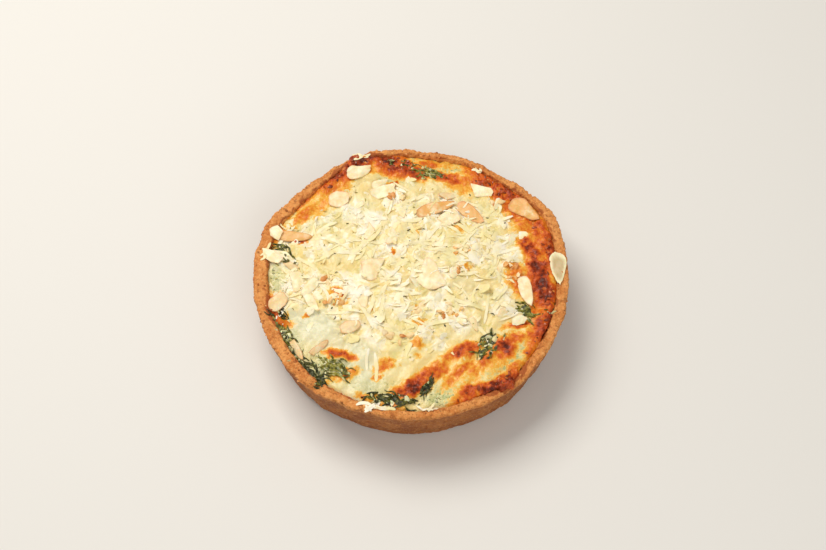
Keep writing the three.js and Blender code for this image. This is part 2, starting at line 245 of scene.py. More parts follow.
# Where there are no toppings: (x, y, length, width, angle, strength).
BARE = [
    (-34, -20, 22, 15, -20, 0.9),
    (-16, -34, 14, 22, 12, 0.8),
    (-8, 38, 42, 10, 6, 0.85),
    (-33, 29, 22, 9, 40, 0.8),
    (20, -33, 30, 10, 30, 0.8),
]

# Where the cheese has melted smooth among the toppings.
SMOOTH = [
    (-26.8, 5.5, 17, 8, -4, 0.9),
    (20, -3.5, 15, 8, 8, 0.9),
    (-24, 22, 18, 6, 12, 0.7),
    (16, -24, 15, 6, 10, 0.7),
    (-16, -16, 12, 7, -50, 0.7),
    (5, -6, 12, 6, -20, 0.6),
    (14, 36, 12, 6, -14, 0.7),
    (-14, 30, 10, 5, 10, 0.5),
    (-38, -5, 8, 5, 0, 0.5),
]
# Where chopped nuts lie together.
NUTTY = [
    (-28.3, -9.1, 6, 5, 0, 1),
    (0.9, -13.2, 4, 3, 0, 1),
    (14.7, -14.6, 9, 4, 10, 1),
    (-35.5, 7.7, 4, 2, 0, 1),
    (17.5, 10.4, 6, 3, 0, 1),
    (20, 4, 6, 3, 20, 1),
    (-29.5, -1.1, 5, 3, 0, 1),
    (35.4, 1.9, 5, 5, 0, 1),
    (-20.5, -19, 4, 3, 0, 1),
    (31, 30, 4, 4, 0, 1),
    (-5, -24, 8, 4, 0, 0.6),
    (-6, 34, 5, 3, 0, 1),
]

# Spinach leaves: (node, x, y, length, width, angle, curl, how much cheese has coated it).
SPINACH = [
    ("spinach_front_left_outer", -35.5, -36.5, 19, 6.5, -46, -1.6, 0.25),
    ("spinach_front_left_inner", -26.4, -37, 11, 5, -24, 1.2, 0.75),
    ("spinach_front", -7, -48, 17, 3.8, -8, -1.2, 0.3),
    ("spinach_front_right", 27, -28.5, 9.5, 5.5, 52, 0.9, 0.5),
    ("spinach_right", 40.6, -13.6, 7.5, 4.6, -34, 0.7, 0.7),
    ("spinach_left", -44.2, -22.6, 12, 3.8, -58, -0.9, 0.55),
    ("spinach_left_back", -46.2, 9.6, 8.5, 5, -39, 0.8, 0.5),
    ("spinach_back", 8, 44.4, 11, 4, -16, 0.9, 0.75),
    ("spinach_back_rim", -3.6, 49.8, 11, 2.8, -8, -0.8, 0.45),
    ("spinach_right_rim", 49.6, -13.8, 5, 3.2, 32, 0.4, 0.3),
    ("spinach_front_scrap", 5.3, -44.6, 5.5, 2.6, 38, 0.3, 0.15),
    ("spinach_left_scrap", -46.6, -14.3, 5, 3, -24, -0.3, 0.0),
]
LEAF_SUNK = 0.35
LEAF_THICKNESS = 0.5

# The large flakes: (x, y, length, width, turn, tilt, how tanned, breaks in its outline, how pointed).
# One that is tanned less than 0 is clear, with a darker middle and a pale edge.
LARGE_FLAKES = [
    (8.7, 28.4, 14, 5.5, 18, 6, 1.0, 0, 0.5),
    (14, 24.5, 10, 6.5, -20, 6, 0.15, 3, 0.0),
    (21, 26.3, 12, 7.5, -38, 8, 0.9, 2, 0.4),
    (25.2, 36.4, 9.5, 6.5, -12, 12, 0.0, 3, 0.2),
    (31.4, 30.9, 4.5, 3, 60, 20, 0.05, 2, 0.0),
    (41.3, 28.4, 12, 8, -40, 8, 1.0, 1, 0.6),
    (52.8, 3.6, 13, 7, -88, 6, -1.0, 0, 0.75),
    (40.8, -5.6, 12, 5.5, -76, 12, 0.25, 0, 0.5),
    (-47.4, -10.4, 8, 5.6, 52, 12, 0.35, 0, 0.1),
    (-19.4, 45, 9, 6, 24, 10, 0.1, 1, 0.3),
    (-49.2, 18.8, 8, 5, -45, 14, 0.15, 3, 0.2),
    (-42.4, 17.4, 12, 4.5, -3, 6, 0.9, 0, 0.4),
    (-50.8, 9.2, 9, 5, -30, 10, 0.05, 3, 0.2),
    (-26.4, 33, 8, 6.5, 4, 8, 0.3, 2, 0.0),
    (-32.7, -28.6, 9, 2.6, 42, 34, 0.5, 1, 0.3),
    (-40.4, -28.6, 9, 2.6, -61, 30, 0.4, 1, 0.3),
    (6.2, 0.2, 14, 11, -35, 5, 0.1, 3, 0.1),
    (-13.7, 3, 10.5, 9, 30, 7, 0.2, 4, 0.0),
    (-10, 37, 10, 7, 10, 6, 0.05, 2, 0.3),
    (-21.5, -20.5, 7.5, 5, 20, 14, 0.4, 0, 0.3),
    (-41.2, -0.4, 10, 7, 78, 12, 0.0, 4, 0.1),
    (-35.9, -3.7, 10, 4, 50, 12, 0.0, 3, 0.1),
    (-35.7, -10.7, 8, 4.5, -42, 14, 0.0, 3, 0.0),
    (-46.4, 9.8, 8, 4.5, -24, 18, 0.0, 3, 0.2),
    (38.8, -17.4, 7, 3.4, 22, 14, 0.0, 2, 0.1),
    (17.4, -17.6, 6, 4, -40, 14, 0.0, 3, 0.2),
    (15.6, 1, 5, 3, 50, 18, 0.0, 3, 0.0),
    (-11.5, 40, 7, 4.5, 40, 12, 0.0, 3, 0.0),
]
# Its uneven outline cuts into a flake, so its length and width are drawn larger by these factors.
FLAKE_LARGER = (1.08, 1.15)
FLAKE_BOW, FLAKE_THICKNESS, FLAKE_CELLS = 0.15, 0.32, 23
# Each is laid so that this percentage of it is clear, and then sunk by so much.
FLAKE_CLEAR, FLAKE_SUNK = 97, 0.1
# How far out the large flakes still have shreds of cheese on them.
TOPPED_RADIUS = 36
# Long shreds of cheese that are each seen singly: (x, y, length, width, turn, bow).
LONG_SHREDS = [
    (5.5, 12.9, 18, 1.7, -2, 0.4),
    (10, 10.9, 12, 1.1, -6, -0.4),
    (-12.6, -35.6, 11, 1.3, -87, 0.4),
    (-15.2, -33, 8, 1, -94, -0.5),
    (-27.5, 13.6, 13, 1.4, -26, 1.0),
    (-7, 19, 12, 1.7, 42, 0.8),
    (-3.6, 21.4, 8, 1.4, -62, 0.4),
    (0.6, 20, 8, 1.4, -66, -0.5),
    (25.4, -23.4, 8, 1.3, -56, 0.5),
    (27.4, -22.6, 6, 1.1, -78, -0.4),
    (-38.5, 5.6, 10, 1.3, -34, 1.0),
    (-22.2, 10.8, 9, 1.6, 6, -0.6),
    (-16, -16.5, 11, 1.6, -62, 0.8),
    (-31, 20.6, 9, 1.2, 34, 0.7),
    (9.8, -19.4, 10, 1.5, 12, 0.6),
    (28.6, 12, 9, 1.3, -30, 0.8),
    (2, 34, 9, 1.3, 24, -0.6),
    (31, -12, 8, 1.3, 58, 0.7),
    (-4, -6.6, 10, 1.4, -18, 0.8),
    (24, 20.6, 9, 1.3, 38, 0.5),
]
# Strips of grated cheese over the rim: (x, y, length of the row, its turn, how many).
RIM_SHREDS = [
    (-12.5, -51.6, 15, -5, 8),
    (4, -51.8, 8, 4, 3),
    (23, 47.6, 5, -34, 2),
    (-19.1, 51.8, 4, 8, 2),
    (-51.5, 11, 6, 60, 4),
]

# The smallest and largest length, width and bow of those strips.
RIM_SHRED_RANGES = [(3.5, 7), (0.7, 1.3), (-1, 1)]
# How high a strip's middle line lies over what it rests on, over the rim and on the heap.
STRIP_LIFT_RIM, STRIP_LIFT_HEAP = 0.35, 0.2
# How many points a strip of cheese has along its length.
STRIP_ROWS = 15
# Edges sharper than this, in degrees, stay sharp on the toppings and on the leaves.
TOPPING_CREASE = 45
LEAF_CREASE = 50

# What is strewn: (name, shapes, material, where, spacing, most on a square metre, tilt, lowest and
# highest, smallest and largest, seed).
STREWN = [
    ("almond_flakes", "slices", "almond", "strewn", 8.0, 9e3, 0.14, (0.0, 0.35), (0.7, 1.1), 5),
    ("cheese_shavings", "shavings", "cheese", "strewn", 2.6, 6e4, 0.2, (-0.15, 0.2), (0.6, 1.15), 6),
    ("cheese_shreds", "strips", "cheese", "strewn", 1.9, 1.05e5, 0.1, (-0.15, 0.1), (0.6, 1.0), 7),
    ("cheese_shreds_on_flakes", "strips", "cheese", "topped", 2.2, 9e4, 0.1, (-0.05, 0.1), (0.35, 0.75), 17),
    ("chopped_nuts", "chips", "nut", "nutty", 1.3, 4e5, 0.6, (0.05, 0.4), (0.6, 1.3), 8),
    ("cheese_crumbs", "chips", "cheese", "strewn", 1.8, 6e4, 0.8, (-0.1, 0.15), (0.25, 0.65), 9),
    ("herb_specks", "specks", "herb", "peppered", 2.6, 6e4, 0.6, (0.05, 0.35), (0.5, 1.4), 10),
    ("browned_bits", "chips", "browned", "singed", 1.2, 2.6e5, 0.8, (0.0, 0.25), (0.3, 0.8), 12),
    ("rim_crumbs", "grit", "crumb", "rim", 2.2, 9e4, 1.0, (-0.05, 0.1), (0.6, 1.8), 11),
]
# The inputs of the node tree that strews: (name, kind).
STREW_INPUTS = [("Surface", "Geometry"), ("Shapes", "Collection"), ("Where", "String"), ("Seed", "Int")]
STREW_INPUTS += [(name, "Float") for name in ("Spacing", "Most on a square metre", "Tilt")]
STREW_INPUTS += [(name, "Float") for name in ("Lowest", "Highest", "Smallest", "Largest")]
STREW_INPUTS.append(("Material", "Material"))
# The most curds of egg on a square metre of bare leaf, and how many more on a coated one.
CURDS_BARE, CURDS_COATED = 2e4, 1.1e5
# How tanned the strewn almond flakes are at most.
MOST_TAN = 0.4

# Soft lights, in metres: (name, place, size, watts, tint). They are aimed at one point.
LIGHTS = [
    ("softbox_above", (-0.28, 0.3, 0.7), 0.5, 5.2, "#fffaf2"),
    ("softbox_front", (0.25, -0.7, 0.6), 0.7, 2.9, "#fffdfa"),
]
LIT_POINT = (0, 0, 0.02)
ROOM_TINT = "#f6f3ec"
ROOM_STRENGTH = 0.36
TABLE_REACH = 3000

# The camera stands where the photograph was taken from.
CAMERA_PLACE = Vector((0.569, -331.314, 594.632))
CAMERA_TILT = math.radians(59.8)
CAMERA_LENS = 80.24
SENSOR = 36
CLIP_NEAR, CLIP_FAR = 0.01, 20
# How high above the table the rays start that look for what lies under a topping.
RAY_HEIGHT = 60


def smoothstep(low, high, value):
    """0 under low, 1 over high, with a smooth step between."""
    share = np.clip((value - low) / (high - low), 0, 1)
    return share * share * (3 - 2 * share)


def waves(table, angle):
    """The sum of a table of waves at each angle."""
    return sum(depth * np.cos(count * angle - math.radians(crest)) for count, depth, crest in table)


def within(angle, middle, half_width):
    """1 at the middle of a stretch of the rim, falling to 0 at its ends."""
    away = np.abs((angle - math.radians(middle) + math.pi) % (2 * math.pi) - math.pi)
    return smoothstep(0, 1, 1 - away / math.radians(half_width))


def outline(angle):
    """The rim's outline at each angle, as a share of its plain radius."""
    return 1 + waves(OUTLINE_WAVES, angle) / RIM_RADIUS


def overrun(angle):
    """How much the filling has run over the rim at each angle, from 0 to 1."""
    return np.max([within(angle, middle, half) for middle, half, _ in OVERRUNS], axis=0)


def spill(angle):
    """How far across the rim the browned cheese has run, 1 being right over it."""
    return np.max([far * within(angle, middle, half) ** 0.5 for middle, half, far in OVERRUNS], axis=0)


def rim_top(angle):
    """The rim's height at each angle, with its waves, chips and overruns."""
    chipped = sum(depth * within(angle, middle, half) for middle, half, depth in RIM_CHIPS)
    return RIM_HEIGHT + waves(RIM_TOP_WAVES, angle) - chipped - OVERRUN_RISE * overrun(angle)


def wall_radius(height):
    """The plain radius of the outer wall."""
    return FOOT_RADIUS + (RIM_RADIUS - FOOT_RADIUS) * height / RIM_HEIGHT


def crags(angle, height):
    """Low ridges of the outer wall."""
    return 0.16 * np.sin(23 * angle + 0.9 * height) + 0.12 * np.sin(37 * angle - 1.7 * height)


def inner_radius(angle, height):
    """The radius of the case's inner side."""
    return (wall_radius(height) - WALL - waves(WALL_WAVES, angle)) * outline(angle)


def centring():
    """How far the whole quiche is moved so that its outline is centred on the origin."""
    angle = np.arange(PART_SIDES) * 2 * math.pi / PART_SIDES
    height = rim_top(angle) - EDGE_ROUND
    reach = wall_radius(height) * outline(angle) + crags(angle, height)
    x, y = reach * np.cos(angle), reach * np.sin(angle)
    return -(x.max() + x.min()) / 2, -(y.max() + y.min()) / 2


SHIFT = np.array([*centring(), 0.0])


def in_oval(spot, x, y):
    """Distance from the middle of an oval, 1 at its edge."""
    turn = math.radians(spot[4])
    along = (x - spot[0]) * math.cos(turn) + (y - spot[1]) * math.sin(turn)
    across = (y - spot[1]) * math.cos(turn) - (x - spot[0]) * math.sin(turn)
    return np.hypot(along / (spot[2] / 2), across / (spot[3] / 2))


def surface(x, y):
    """The filling's surface as in the fitted part, before its toppings."""
    radius, angle = np.hypot(x, y), np.arctan2(y, x)
    share = np.minimum(1, radius / inner_radius(angle, RIM_HEIGHT))
    heap_share = np.hypot(x - HEAP_CENTRE[0], y - HEAP_CENTRE[1]) / HEAP_RADIUS
    dome = DOME_RISE * (1 - share**2) + HEAP_RISE * np.exp(-1.6 * heap_share**4)
    blisters = sum(np.exp(-1.2 * in_oval(spot, x, y) ** 2) for spot in RAISED)
    pools = sum(np.exp(-1.2 * in_oval(spot, x, y) ** 2) for spot in SUNKEN)
    lumps = 0.3 * np.sin(0.52 * x + 0.3 * y) * np.sin(0.47 * y - 0.2 * x) + 0.2 * np.sin(0.9 * x - 0.7 * y)
    edge = RIM_HEIGHT + waves(RIM_TOP_WAVES, angle) - FILL_DROP
    raised = OVERRUN_RISE * overrun(angle) * np.maximum(0, 2 * share - 1)
    level = (RIM_HEIGHT - FILL_DROP) * (1 - share**4) + edge * share**4
    return level + dome + raised + 0.7 * np.minimum(1, blisters) - 0.6 * pools + lumps


def rough(points, size, octaves=3, offset=0.0):
    """Smooth random relief from about -1 to 1 with lumps of one size in mm. points is (..., 3)."""
    flat = points.reshape(-1, 3) / size + offset
    values = [noise.fractal(p, 0.9, 2.1, octaves) for p in flat.tolist()]
    return np.array(values).reshape(points.shape[:-1])


def beads(points, size):
    """Round bumps packed side by side: 1 on top of each, 0 in the creases between them."""
    flat = points.reshape(-1, 3) / size
    nearest = [noise.voronoi(p)[0][0] for p in flat.tolist()]
    return np.clip(1 - np.array(nearest) ** 2, 0, 1).reshape(points.shape[:-1])


def stain(spots, x, y):
    """The strongest of the oval spots at each point, each fading out past its edge."""
    total = np.zeros_like(x)
    for spot in spots:
        total = np.maximum(total, spot[5] * (1 - smoothstep(0.35, 1.95, in_oval(spot, x, y))))
    return total


def warped(x, y):
    """Points pushed about a little, which gives the spots their torn edges."""
    flat = np.stack([x, y, np.zeros_like(x)], axis=-1)
    far = [1.3 * rough(flat, 5.5, 3, k) + 0.7 * rough(flat, 1.9, 3, k + 5) for k in (11.0, 37.0)]
    return x + far[0], y + far[1]


def disc_grid(count):
    """A square grid squeezed into the unit circle so that its cells stay nearly equal."""
    side = np.linspace(-1, 1, count)
    a, b = np.meshgrid(side, side, indexing="ij")
    wide = np.abs(a) >= np.abs(b)
    radius = np.where(wide, a, b)
    safe_a = np.where(np.abs(a) < 1e-9, 1e-9, a)
    safe_b = np.where(np.abs(b) < 1e-9, 1e-9, b)
    angle = np.where(wide, math.pi / 4 * b / safe_a, math.pi / 2 - math.pi / 4 * a / safe_b)
    return radius * np.cos(angle), radius * np.sin(angle)


def grid_border(index):
    """The indices round the edge of a grid, in turn."""
    return np.concatenate([index[:-1, 0], index[-1, :-1], index[:0:-1, -1], index[0, :0:-1]])


def grid_faces(rows, columns):
    """The indices of a grid of points, and its four-cornered faces."""
    index = np.arange(rows * columns).reshape(rows, columns)
    corners = [index[:-1, :-1], index[1:, :-1], index[1:, 1:], index[:-1, 1:]]
    return index, np.stack(corners, axis=-1).reshape(-1, 4)


def sheet_solid(top, thickness):
    """A thin solid below a grid of points, its two faces split alike: (vertices, faces)."""
    rows, columns, _ = top.shape
    under = top.copy()
    under[..., 2] -= thickness
    index, upper = grid_faces(rows, columns)
    count = rows * columns
    border = grid_border(index)
    ahead = np.roll(border, -1)
    walls = np.stack([border, border + count, ahead + count, ahead], axis=-1)
    vertices = np.concatenate([top.reshape(-1, 3), under.reshape(-1, 3)])
    return vertices, np.concatenate([upper, upper[:, ::-1] + count, walls])


def joined(parts):
    """Several (vertices, faces) as one."""
    starts = np.cumsum([0] + [len(vertices) for vertices, _ in parts[:-1]])
    vertices = np.concatenate([part[0] for part in parts])
    return vertices, np.concatenate([part[1] + start for part, start in zip(parts, starts)])


def make_object(name, vertices, faces, material=None, values=None, crease=180):
    """A mesh object in the scene from points in mm. values holds one number per point by name."""
    mesh = bpy.data.meshes.new(name)
    mesh.from_pydata((vertices * MM).tolist(), [], faces.tolist() if hasattr(faces, "tolist") else faces)
    mesh.polygons.foreach_set("use_smooth", [True] * len(mesh.polygons))
    for key, numbers in (values or {}).items():
        layer = mesh.attributes.new(key, "FLOAT", "POINT")
        layer.data.foreach_set("value", np.asarray(numbers, dtype=np.float32).ravel())
    if crease < 180:
        mesh.set_sharp_from_angle(angle=math.radians(crease))
    if material:
        mesh.materials.append(material)
    piece = bpy.data.objects.new(name, mesh)
    bpy.context.scene.collection.objects.link(piece)
    return piece


def colour(code):
    """A hex colour as it looks on a screen, as linear red, green, blue and alpha."""
    parts = [int(code[i : i + 2], 16) / 255 for i in (1, 3, 5)]
    return [p / 12.92 if p <= 0.04045 else ((p + 0.055) / 1.055) ** 2.4 for p in parts] + [1.0]


def add(tree, kind, inputs=None, **settings):
    """Adds a node to a tree. inputs gives, by name or number, a value or the socket to link from."""
    node = tree.nodes.new(kind)
    for key, value in settings.items():
        setattr(node, key, value)
    for key, value in (inputs or {}).items():
        by_name = [s for s in node.inputs if s.name == key and s.enabled] if isinstance(key, str) else None
        target = by_name[0] if by_name else node.inputs[key]
        if isinstance(value, bpy.types.NodeSocket):
            tree.links.new(value, target)
        else:
            target.default_value = value
    return node


def new_material(name):
    """An empty material with its output and its shader: (material, tree, shader)."""
    material = bpy.data.materials.new(name)
    material.use_nodes = True
    tree = material.node_tree
    tree.nodes.clear()
    shader = add(tree, "ShaderNodeBsdfPrincipled")
    add(tree, "ShaderNodeOutputMaterial", {"Surface": shader.outputs["BSDF"]})
    return material, tree, shader


def attribute(tree, name):
    """The value that a mesh holds by name."""
    return add(tree, "ShaderNodeAttribute", attribute_name=name).outputs["Fac"]


def speckle(tree, size_mm, detail=4.0, roughness=0.6):
    """A noise value whose lumps are about one size in mm, over the object's own coordinates."""
    place = add(tree, "ShaderNodeTexCoord").outputs["Object"]
    inputs = {"Vector": place, "Scale": 1000 / size_mm, "Detail": detail, "Roughness": roughness}
    return add(tree, "ShaderNodeTexNoise", inputs).outputs["Fac"]


def cells(tree, size_mm, feature="F1"):
    """Distances in a pattern of cells of about one size in mm."""
    place = add(tree, "ShaderNodeTexCoord").outputs["Object"]
    inputs = {"Vector": place, "Scale": 1000 / size_mm}
    return add(tree, "ShaderNodeTexVoronoi", inputs, feature=feature).outputs["Distance"]


def calc(tree, operation, first, second, clamp=False):
    """One step of arithmetic."""
    inputs = {0: first, 1: second}
    return add(tree, "ShaderNodeMath", inputs, operation=operation, use_clamp=clamp).outputs[0]


def times(tree, value, factor):
    """The value multiplied."""
    return calc(tree, "MULTIPLY", value, factor)


def between(tree, value, low, high):
    """0 where the value is under low, 1 over high, with a smooth step between."""
    inputs = {"Value": value, "From Min": low, "From Max": high}
    return add(tree, "ShaderNodeMapRange", inputs, interpolation_type="SMOOTHSTEP").outputs["Result"]


def blend(tree, share, first, second):
    """The first colour where the share is 0, the second where it is 1."""
    node = add(tree, "ShaderNodeMix", data_type="RGBA", blend_type="MIX")
    for number, value in ((0, share), (6, first), (7, second)):
        if isinstance(value, bpy.types.NodeSocket):
            tree.links.new(value, node.inputs[number])
        else:
            node.inputs[number].default_value = colour(value) if isinstance(value, str) else value
    return node.outputs[2]


def ramp(tree, value, stops):
    """A colour for each value, between the named stops."""
    node = add(tree, "ShaderNodeValToRGB", {"Fac": value})
    marks = node.color_ramp.elements
    while len(marks) < len(stops):
        marks.new(0.5)
    for mark, (place, code) in zip(marks, stops):
        mark.position = place
        mark.color = colour(code)
    return node.outputs["Color"]


def bump(tree, height, distance_mm, strength, under=None):
    """Fine relief in the shading, over a coarser one where that is given."""
    inputs = {"Height": height, "Distance": distance_mm * MM, "Strength": strength}
    if under:
        inputs["Normal"] = under
    return add(tree, "ShaderNodeBump", inputs).outputs["Normal"]


def link_all(tree, shader, sockets):
    """Gives a shader's inputs their values and links."""
    for key, value in sockets.items():
        if isinstance(value, bpy.types.NodeSocket):
            tree.links.new(value, shader.inputs[key])
        else:
            shader.inputs[key].default_value = value


def drifting(tree, base):
    """The colour whiter in some places and yellower in others, as cheese melts unevenly."""
    drift = speckle(tree, 11, 2)
    whiter = times(tree, between(tree, drift, 0.5, 0.62), 0.55)
    yellower = times(tree, between(tree, drift, 0.48, 0.36), 0.6)
    return blend(tree, yellower, blend(tree, whiter, base, "#fffaec"), "#ecdd98")


def pastry_material():
    """Baked shortcrust pastry: golden, sandy and matt, darker on the wall, where the tin was, and darker
    still there as painted shade.
    """
    material, tree, shader = new_material("shortcrust_pastry_baked")
    rim, stained = attribute(tree, "rim"), attribute(tree, "stained")
    patches = speckle(tree, 8, 4)
    grains = speckle(tree, 1.2, 6, 0.8)
    flecks = speckle(tree, 1.9, 3, 0.5)
    # The wall is browner than the rim top, where the tin was, and its colours are darkened further as
    # painted shade.
    wall = blend(tree, between(tree, patches, 0.35, 0.68), "#ac692f", "#8e4f21")
    top = blend(tree, between(tree, patches, 0.35, 0.62), "#e49b53", "#d0813c")
    body = blend(tree, rim, wall, top)
    dark = blend(tree, times(tree, between(tree, grains, 0.52, 0.62), 0.75), body, "#93491c")
    paler = calc(tree, "ADD", 0.4, times(tree, rim, 0.28))
    light = blend(tree, times(tree, between(tree, grains, 0.47, 0.38), paler), dark, "#f2b26c")
    spotted = blend(tree, times(tree, between(tree, flecks, 0.63, 0.69), 0.5), light, "#7a3a18")
    frayed = calc(tree, "ADD", stained, times(tree, calc(tree, "SUBTRACT", flecks, 0.5), 1.1))
    soaked = blend(tree, times(tree, between(tree, frayed, 0.3, 0.7), 0.8), spotted, "#a04a1a")
    coarse = bump(tree, cells(tree, 1.0), 0.3, 0.7)
    fine = bump(tree, grains, 0.35, 0.8, coarse)
    link_all(tree, shader, {"Base Color": soaked, "Roughness": 0.74, "IOR": 1.42, "Normal": fine})
    link_all(tree, shader, {"Subsurface Weight": 0.06, "Subsurface Scale": 0.0012})
    return material


def filling_material():
    """Melted cheese over set egg: cream, with glossy brown blisters that fade through orange."""
    material, tree, shader = new_material("cheese_and_egg_baked")
    fine = speckle(tree, 1.4, 5, 0.65)
    tiny = speckle(tree, 0.5, 4, 0.6)
    cloudy = speckle(tree, 7, 4)
    heap, custard = attribute(tree, "heap"), attribute(tree, "custard")
    frayed = calc(tree, "ADD", times(tree, fine, 0.6), times(tree, tiny, 0.3))
    spread = calc(tree, "ADD", attribute(tree, "browned"), calc(tree, "SUBTRACT", frayed, 0.45))
    cream = blend(tree, between(tree, cloudy, 0.36, 0.62), "#f2e2ab", "#ecd28c")
    pool = blend(tree, attribute(tree, "pool"), cream, "#e3dfbc")
    # Painted shade: where the melted strands lie low, between them, the colour is a darker yellow-olive.
    # This is partly the yellower melted cheese and partly shade painted into the hollows.
    hollow_tint_and_shade = blend(tree, between(tree, cloudy, 0.46, 0.6), "#d9c070", "#d2cd8a")
    hollow_melt_and_shade = blend(tree, between(tree, fine, 0.35, 0.6), hollow_tint_and_shade, "#ecd893")
    strands = ramp(tree, attribute(tree, "tone"), [(0.0, "#eed58a"), (0.4, "#f8e6b2"), (0.8, "#fef5d8")])
    melted = blend(tree, between(tree, attribute(tree, "melted"), 0.12, 0.46), hollow_melt_and_shade, strands)
    lined = times(tree, attribute(tree, "outlined"), between(tree, cloudy, 0.45, 0.6))
    toasted = blend(tree, times(tree, lined, 0.8), melted, "#c9a04a")
    top = blend(tree, between(tree, heap, 0.1, 0.45), pool, drifting(tree, toasted))
    curds = blend(tree, between(tree, fine, 0.4, 0.62), "#b3b878", "#e2dfae")
    base = blend(tree, times(tree, custard, 0.9), top, curds)
    flecks = times(tree, between(tree, speckle(tree, 1.1, 3, 0.5), 0.6, 0.68), custard)
    green = blend(tree, flecks, base, "#4e5626")
    stops = [
        (0.0, "#f6dc8e"),
        (0.16, "#f2c860"),
        (0.3, "#eeaa3a"),
        (0.44, "#e38423"),
        (0.57, "#d9681e"),
        (0.7, "#bf4d1a"),
        (0.84, "#8e3212"),
        (1.0, "#561c08"),
    ]
    skin = blend(tree, between(tree, spread, 0.05, 0.26), green, ramp(tree, spread, stops))
    browned = between(tree, spread, 0.25, 0.6)
    gloss = calc(tree, "SUBTRACT", 0.43, times(tree, browned, 0.1))
    coat = calc(tree, "SUBTRACT", 0.38, times(tree, browned, 0.24))
    relief = bump(tree, fine, 0.45, 0.7)
    pitted = bump(tree, tiny, 0.2, 0.7, relief)
    link_all(tree, shader, {"Base Color": skin, "Roughness": gloss, "IOR": 1.45, "Normal": pitted})
    link_all(tree, shader, {"Subsurface Weight": 0.25, "Subsurface Scale": 0.002, "Coat Weight": coat})
    link_all(tree, shader, {"Subsurface Radius": (1.0, 0.75, 0.4), "Coat Roughness": 0.22})
    link_all(tree, shader, {"Specular IOR Level": 0.2})
    return material


def cheese_material():
    """Grated hard cheese that has softened in the oven: ivory strips, warmer and golden in patches."""
    material, tree, shader = new_material("grated_cheese_ivory")
    tone, cloudy = attribute(tree, "tone"), speckle(tree, 2.5, 3)
    ivory = ramp(tree, tone, [(0.0, "#f4dc94"), (0.3, "#fbebb8"), (0.7, "#fff3d0"), (1.0, "#f7e2a2")])
    warm = blend(tree, times(tree, between(tree, cloudy, 0.52, 0.75), 0.45), ivory, "#e9c987")
    normal = bump(tree, speckle(tree, 0.6, 3), 0.12, 0.6)
    drifted = drifting(tree, warm)
    link_all(tree, shader, {"Base Color": drifted, "Roughness": 0.43, "IOR": 1.45, "Normal": normal})
    link_all(tree, shader, {"Subsurface Weight": 0.2, "Subsurface Scale": 0.0012})
    link_all(tree, shader, {"Subsurface Radius": (1.0, 0.75, 0.4)})
    return material


def almond_material():
    """Flaked almond: ivory flesh, toasted tan towards the edge of some of the slices."""
    material, tree, shader = new_material("flaked_almond_toasted")
    edge, tan = attribute(tree, "edge"), attribute(tree, "tan")
    streaks, patches = speckle(tree, 3, 3), speckle(tree, 6, 3)
    flesh = blend(tree, between(tree, streaks, 0.35, 0.7), "#fff0cc", "#f7dda8")
    toasted = blend(tree, times(tree, tan, between(tree, patches, 0.22, 0.5)), flesh, "#e9ab5c")
    ring = times(tree, between(tree, edge, 0.84, 1.0), calc(tree, "ADD", tan, 0.12))
    browned = blend(tree, calc(tree, "MINIMUM", ring, 0.6, clamp=True), toasted, "#c58548")
    clear = calc(tree, "MULTIPLY", tan, -0.9, clamp=True)
    middle = blend(tree, between(tree, edge, 0.55, 0.95), "#c3a878", "#efe2b6")
    rimmed = blend(tree, clear, browned, middle)
    normal = bump(tree, speckle(tree, 0.8, 3), 0.1, 0.5)
    link_all(tree, shader, {"Base Color": rimmed, "Roughness": 0.4, "IOR": 1.46, "Normal": normal})
    link_all(tree, shader, {"Subsurface Weight": 0.2, "Subsurface Scale": 0.0015})
    return material


def curd_material():
    """Bits of set egg and cheese tinted by the spinach juice: soft, pale green and yellow."""
    material, tree, shader = new_material("set_egg_curds")
    stops = [(0.0, "#a9ae74"), (0.4, "#cfcd98"), (0.75, "#e9e2b4"), (1.0, "#f3d68e")]
    shade = ramp(tree, attribute(tree, "tone"), stops)
    normal = bump(tree, speckle(tree, 0.6, 3), 0.15, 0.6)
    link_all(tree, shader, {"Base Color": shade, "Roughness": 0.42, "IOR": 1.42, "Normal": normal})
    link_all(tree, shader, {"Subsurface Weight": 0.25, "Subsurface Scale": 0.0015})
    return material


def crumb_material():
    """Crumbs of the pastry: dry and matt, from pale gold to toasted brown."""
    material, tree, shader = new_material("shortcrust_crumbs")
    shade = ramp(tree, attribute(tree, "tone"), [(0.0, "#f0b878"), (0.5, "#d98c48"), (1.0, "#9a5524")])
    link_all(tree, shader, {"Base Color": shade, "Roughness": 0.8, "IOR": 1.42})
    return material


def browned_bits_material():
    """Bits of cheese baked hard along the rim: red-brown to nearly black, with a fatty shine."""
    material, tree, shader = new_material("cheese_baked_hard")
    shade = ramp(tree, attribute(tree, "tone"), [(0.0, "#e08a3c"), (0.4, "#b9521f"), (1.0, "#6c2a10")])
    link_all(tree, shader, {"Base Color": shade, "Roughness": 0.35, "IOR": 1.46, "Coat Weight": 0.3})
    return material


def nut_material():
    """Chopped toasted nut: small broken bits, golden inside and brown where the skin was."""
    material, tree, shader = new_material("chopped_nut_toasted")
    tone, grain = attribute(tree, "tone"), speckle(tree, 1.2, 3)
    shade = calc(tree, "ADD", tone, times(tree, calc(tree, "SUBTRACT", grain, 0.5), 0.9))
    skin = ramp(tree, shade, [(0.0, "#fbe7bc"), (0.4, "#f4d296"), (0.7, "#e9ab62"), (1.0, "#c87c3a")])
    normal = bump(tree, grain, 0.2, 0.6)
    link_all(tree, shader, {"Base Color": skin, "Roughness": 0.5, "IOR": 1.46, "Normal": normal})
    return material


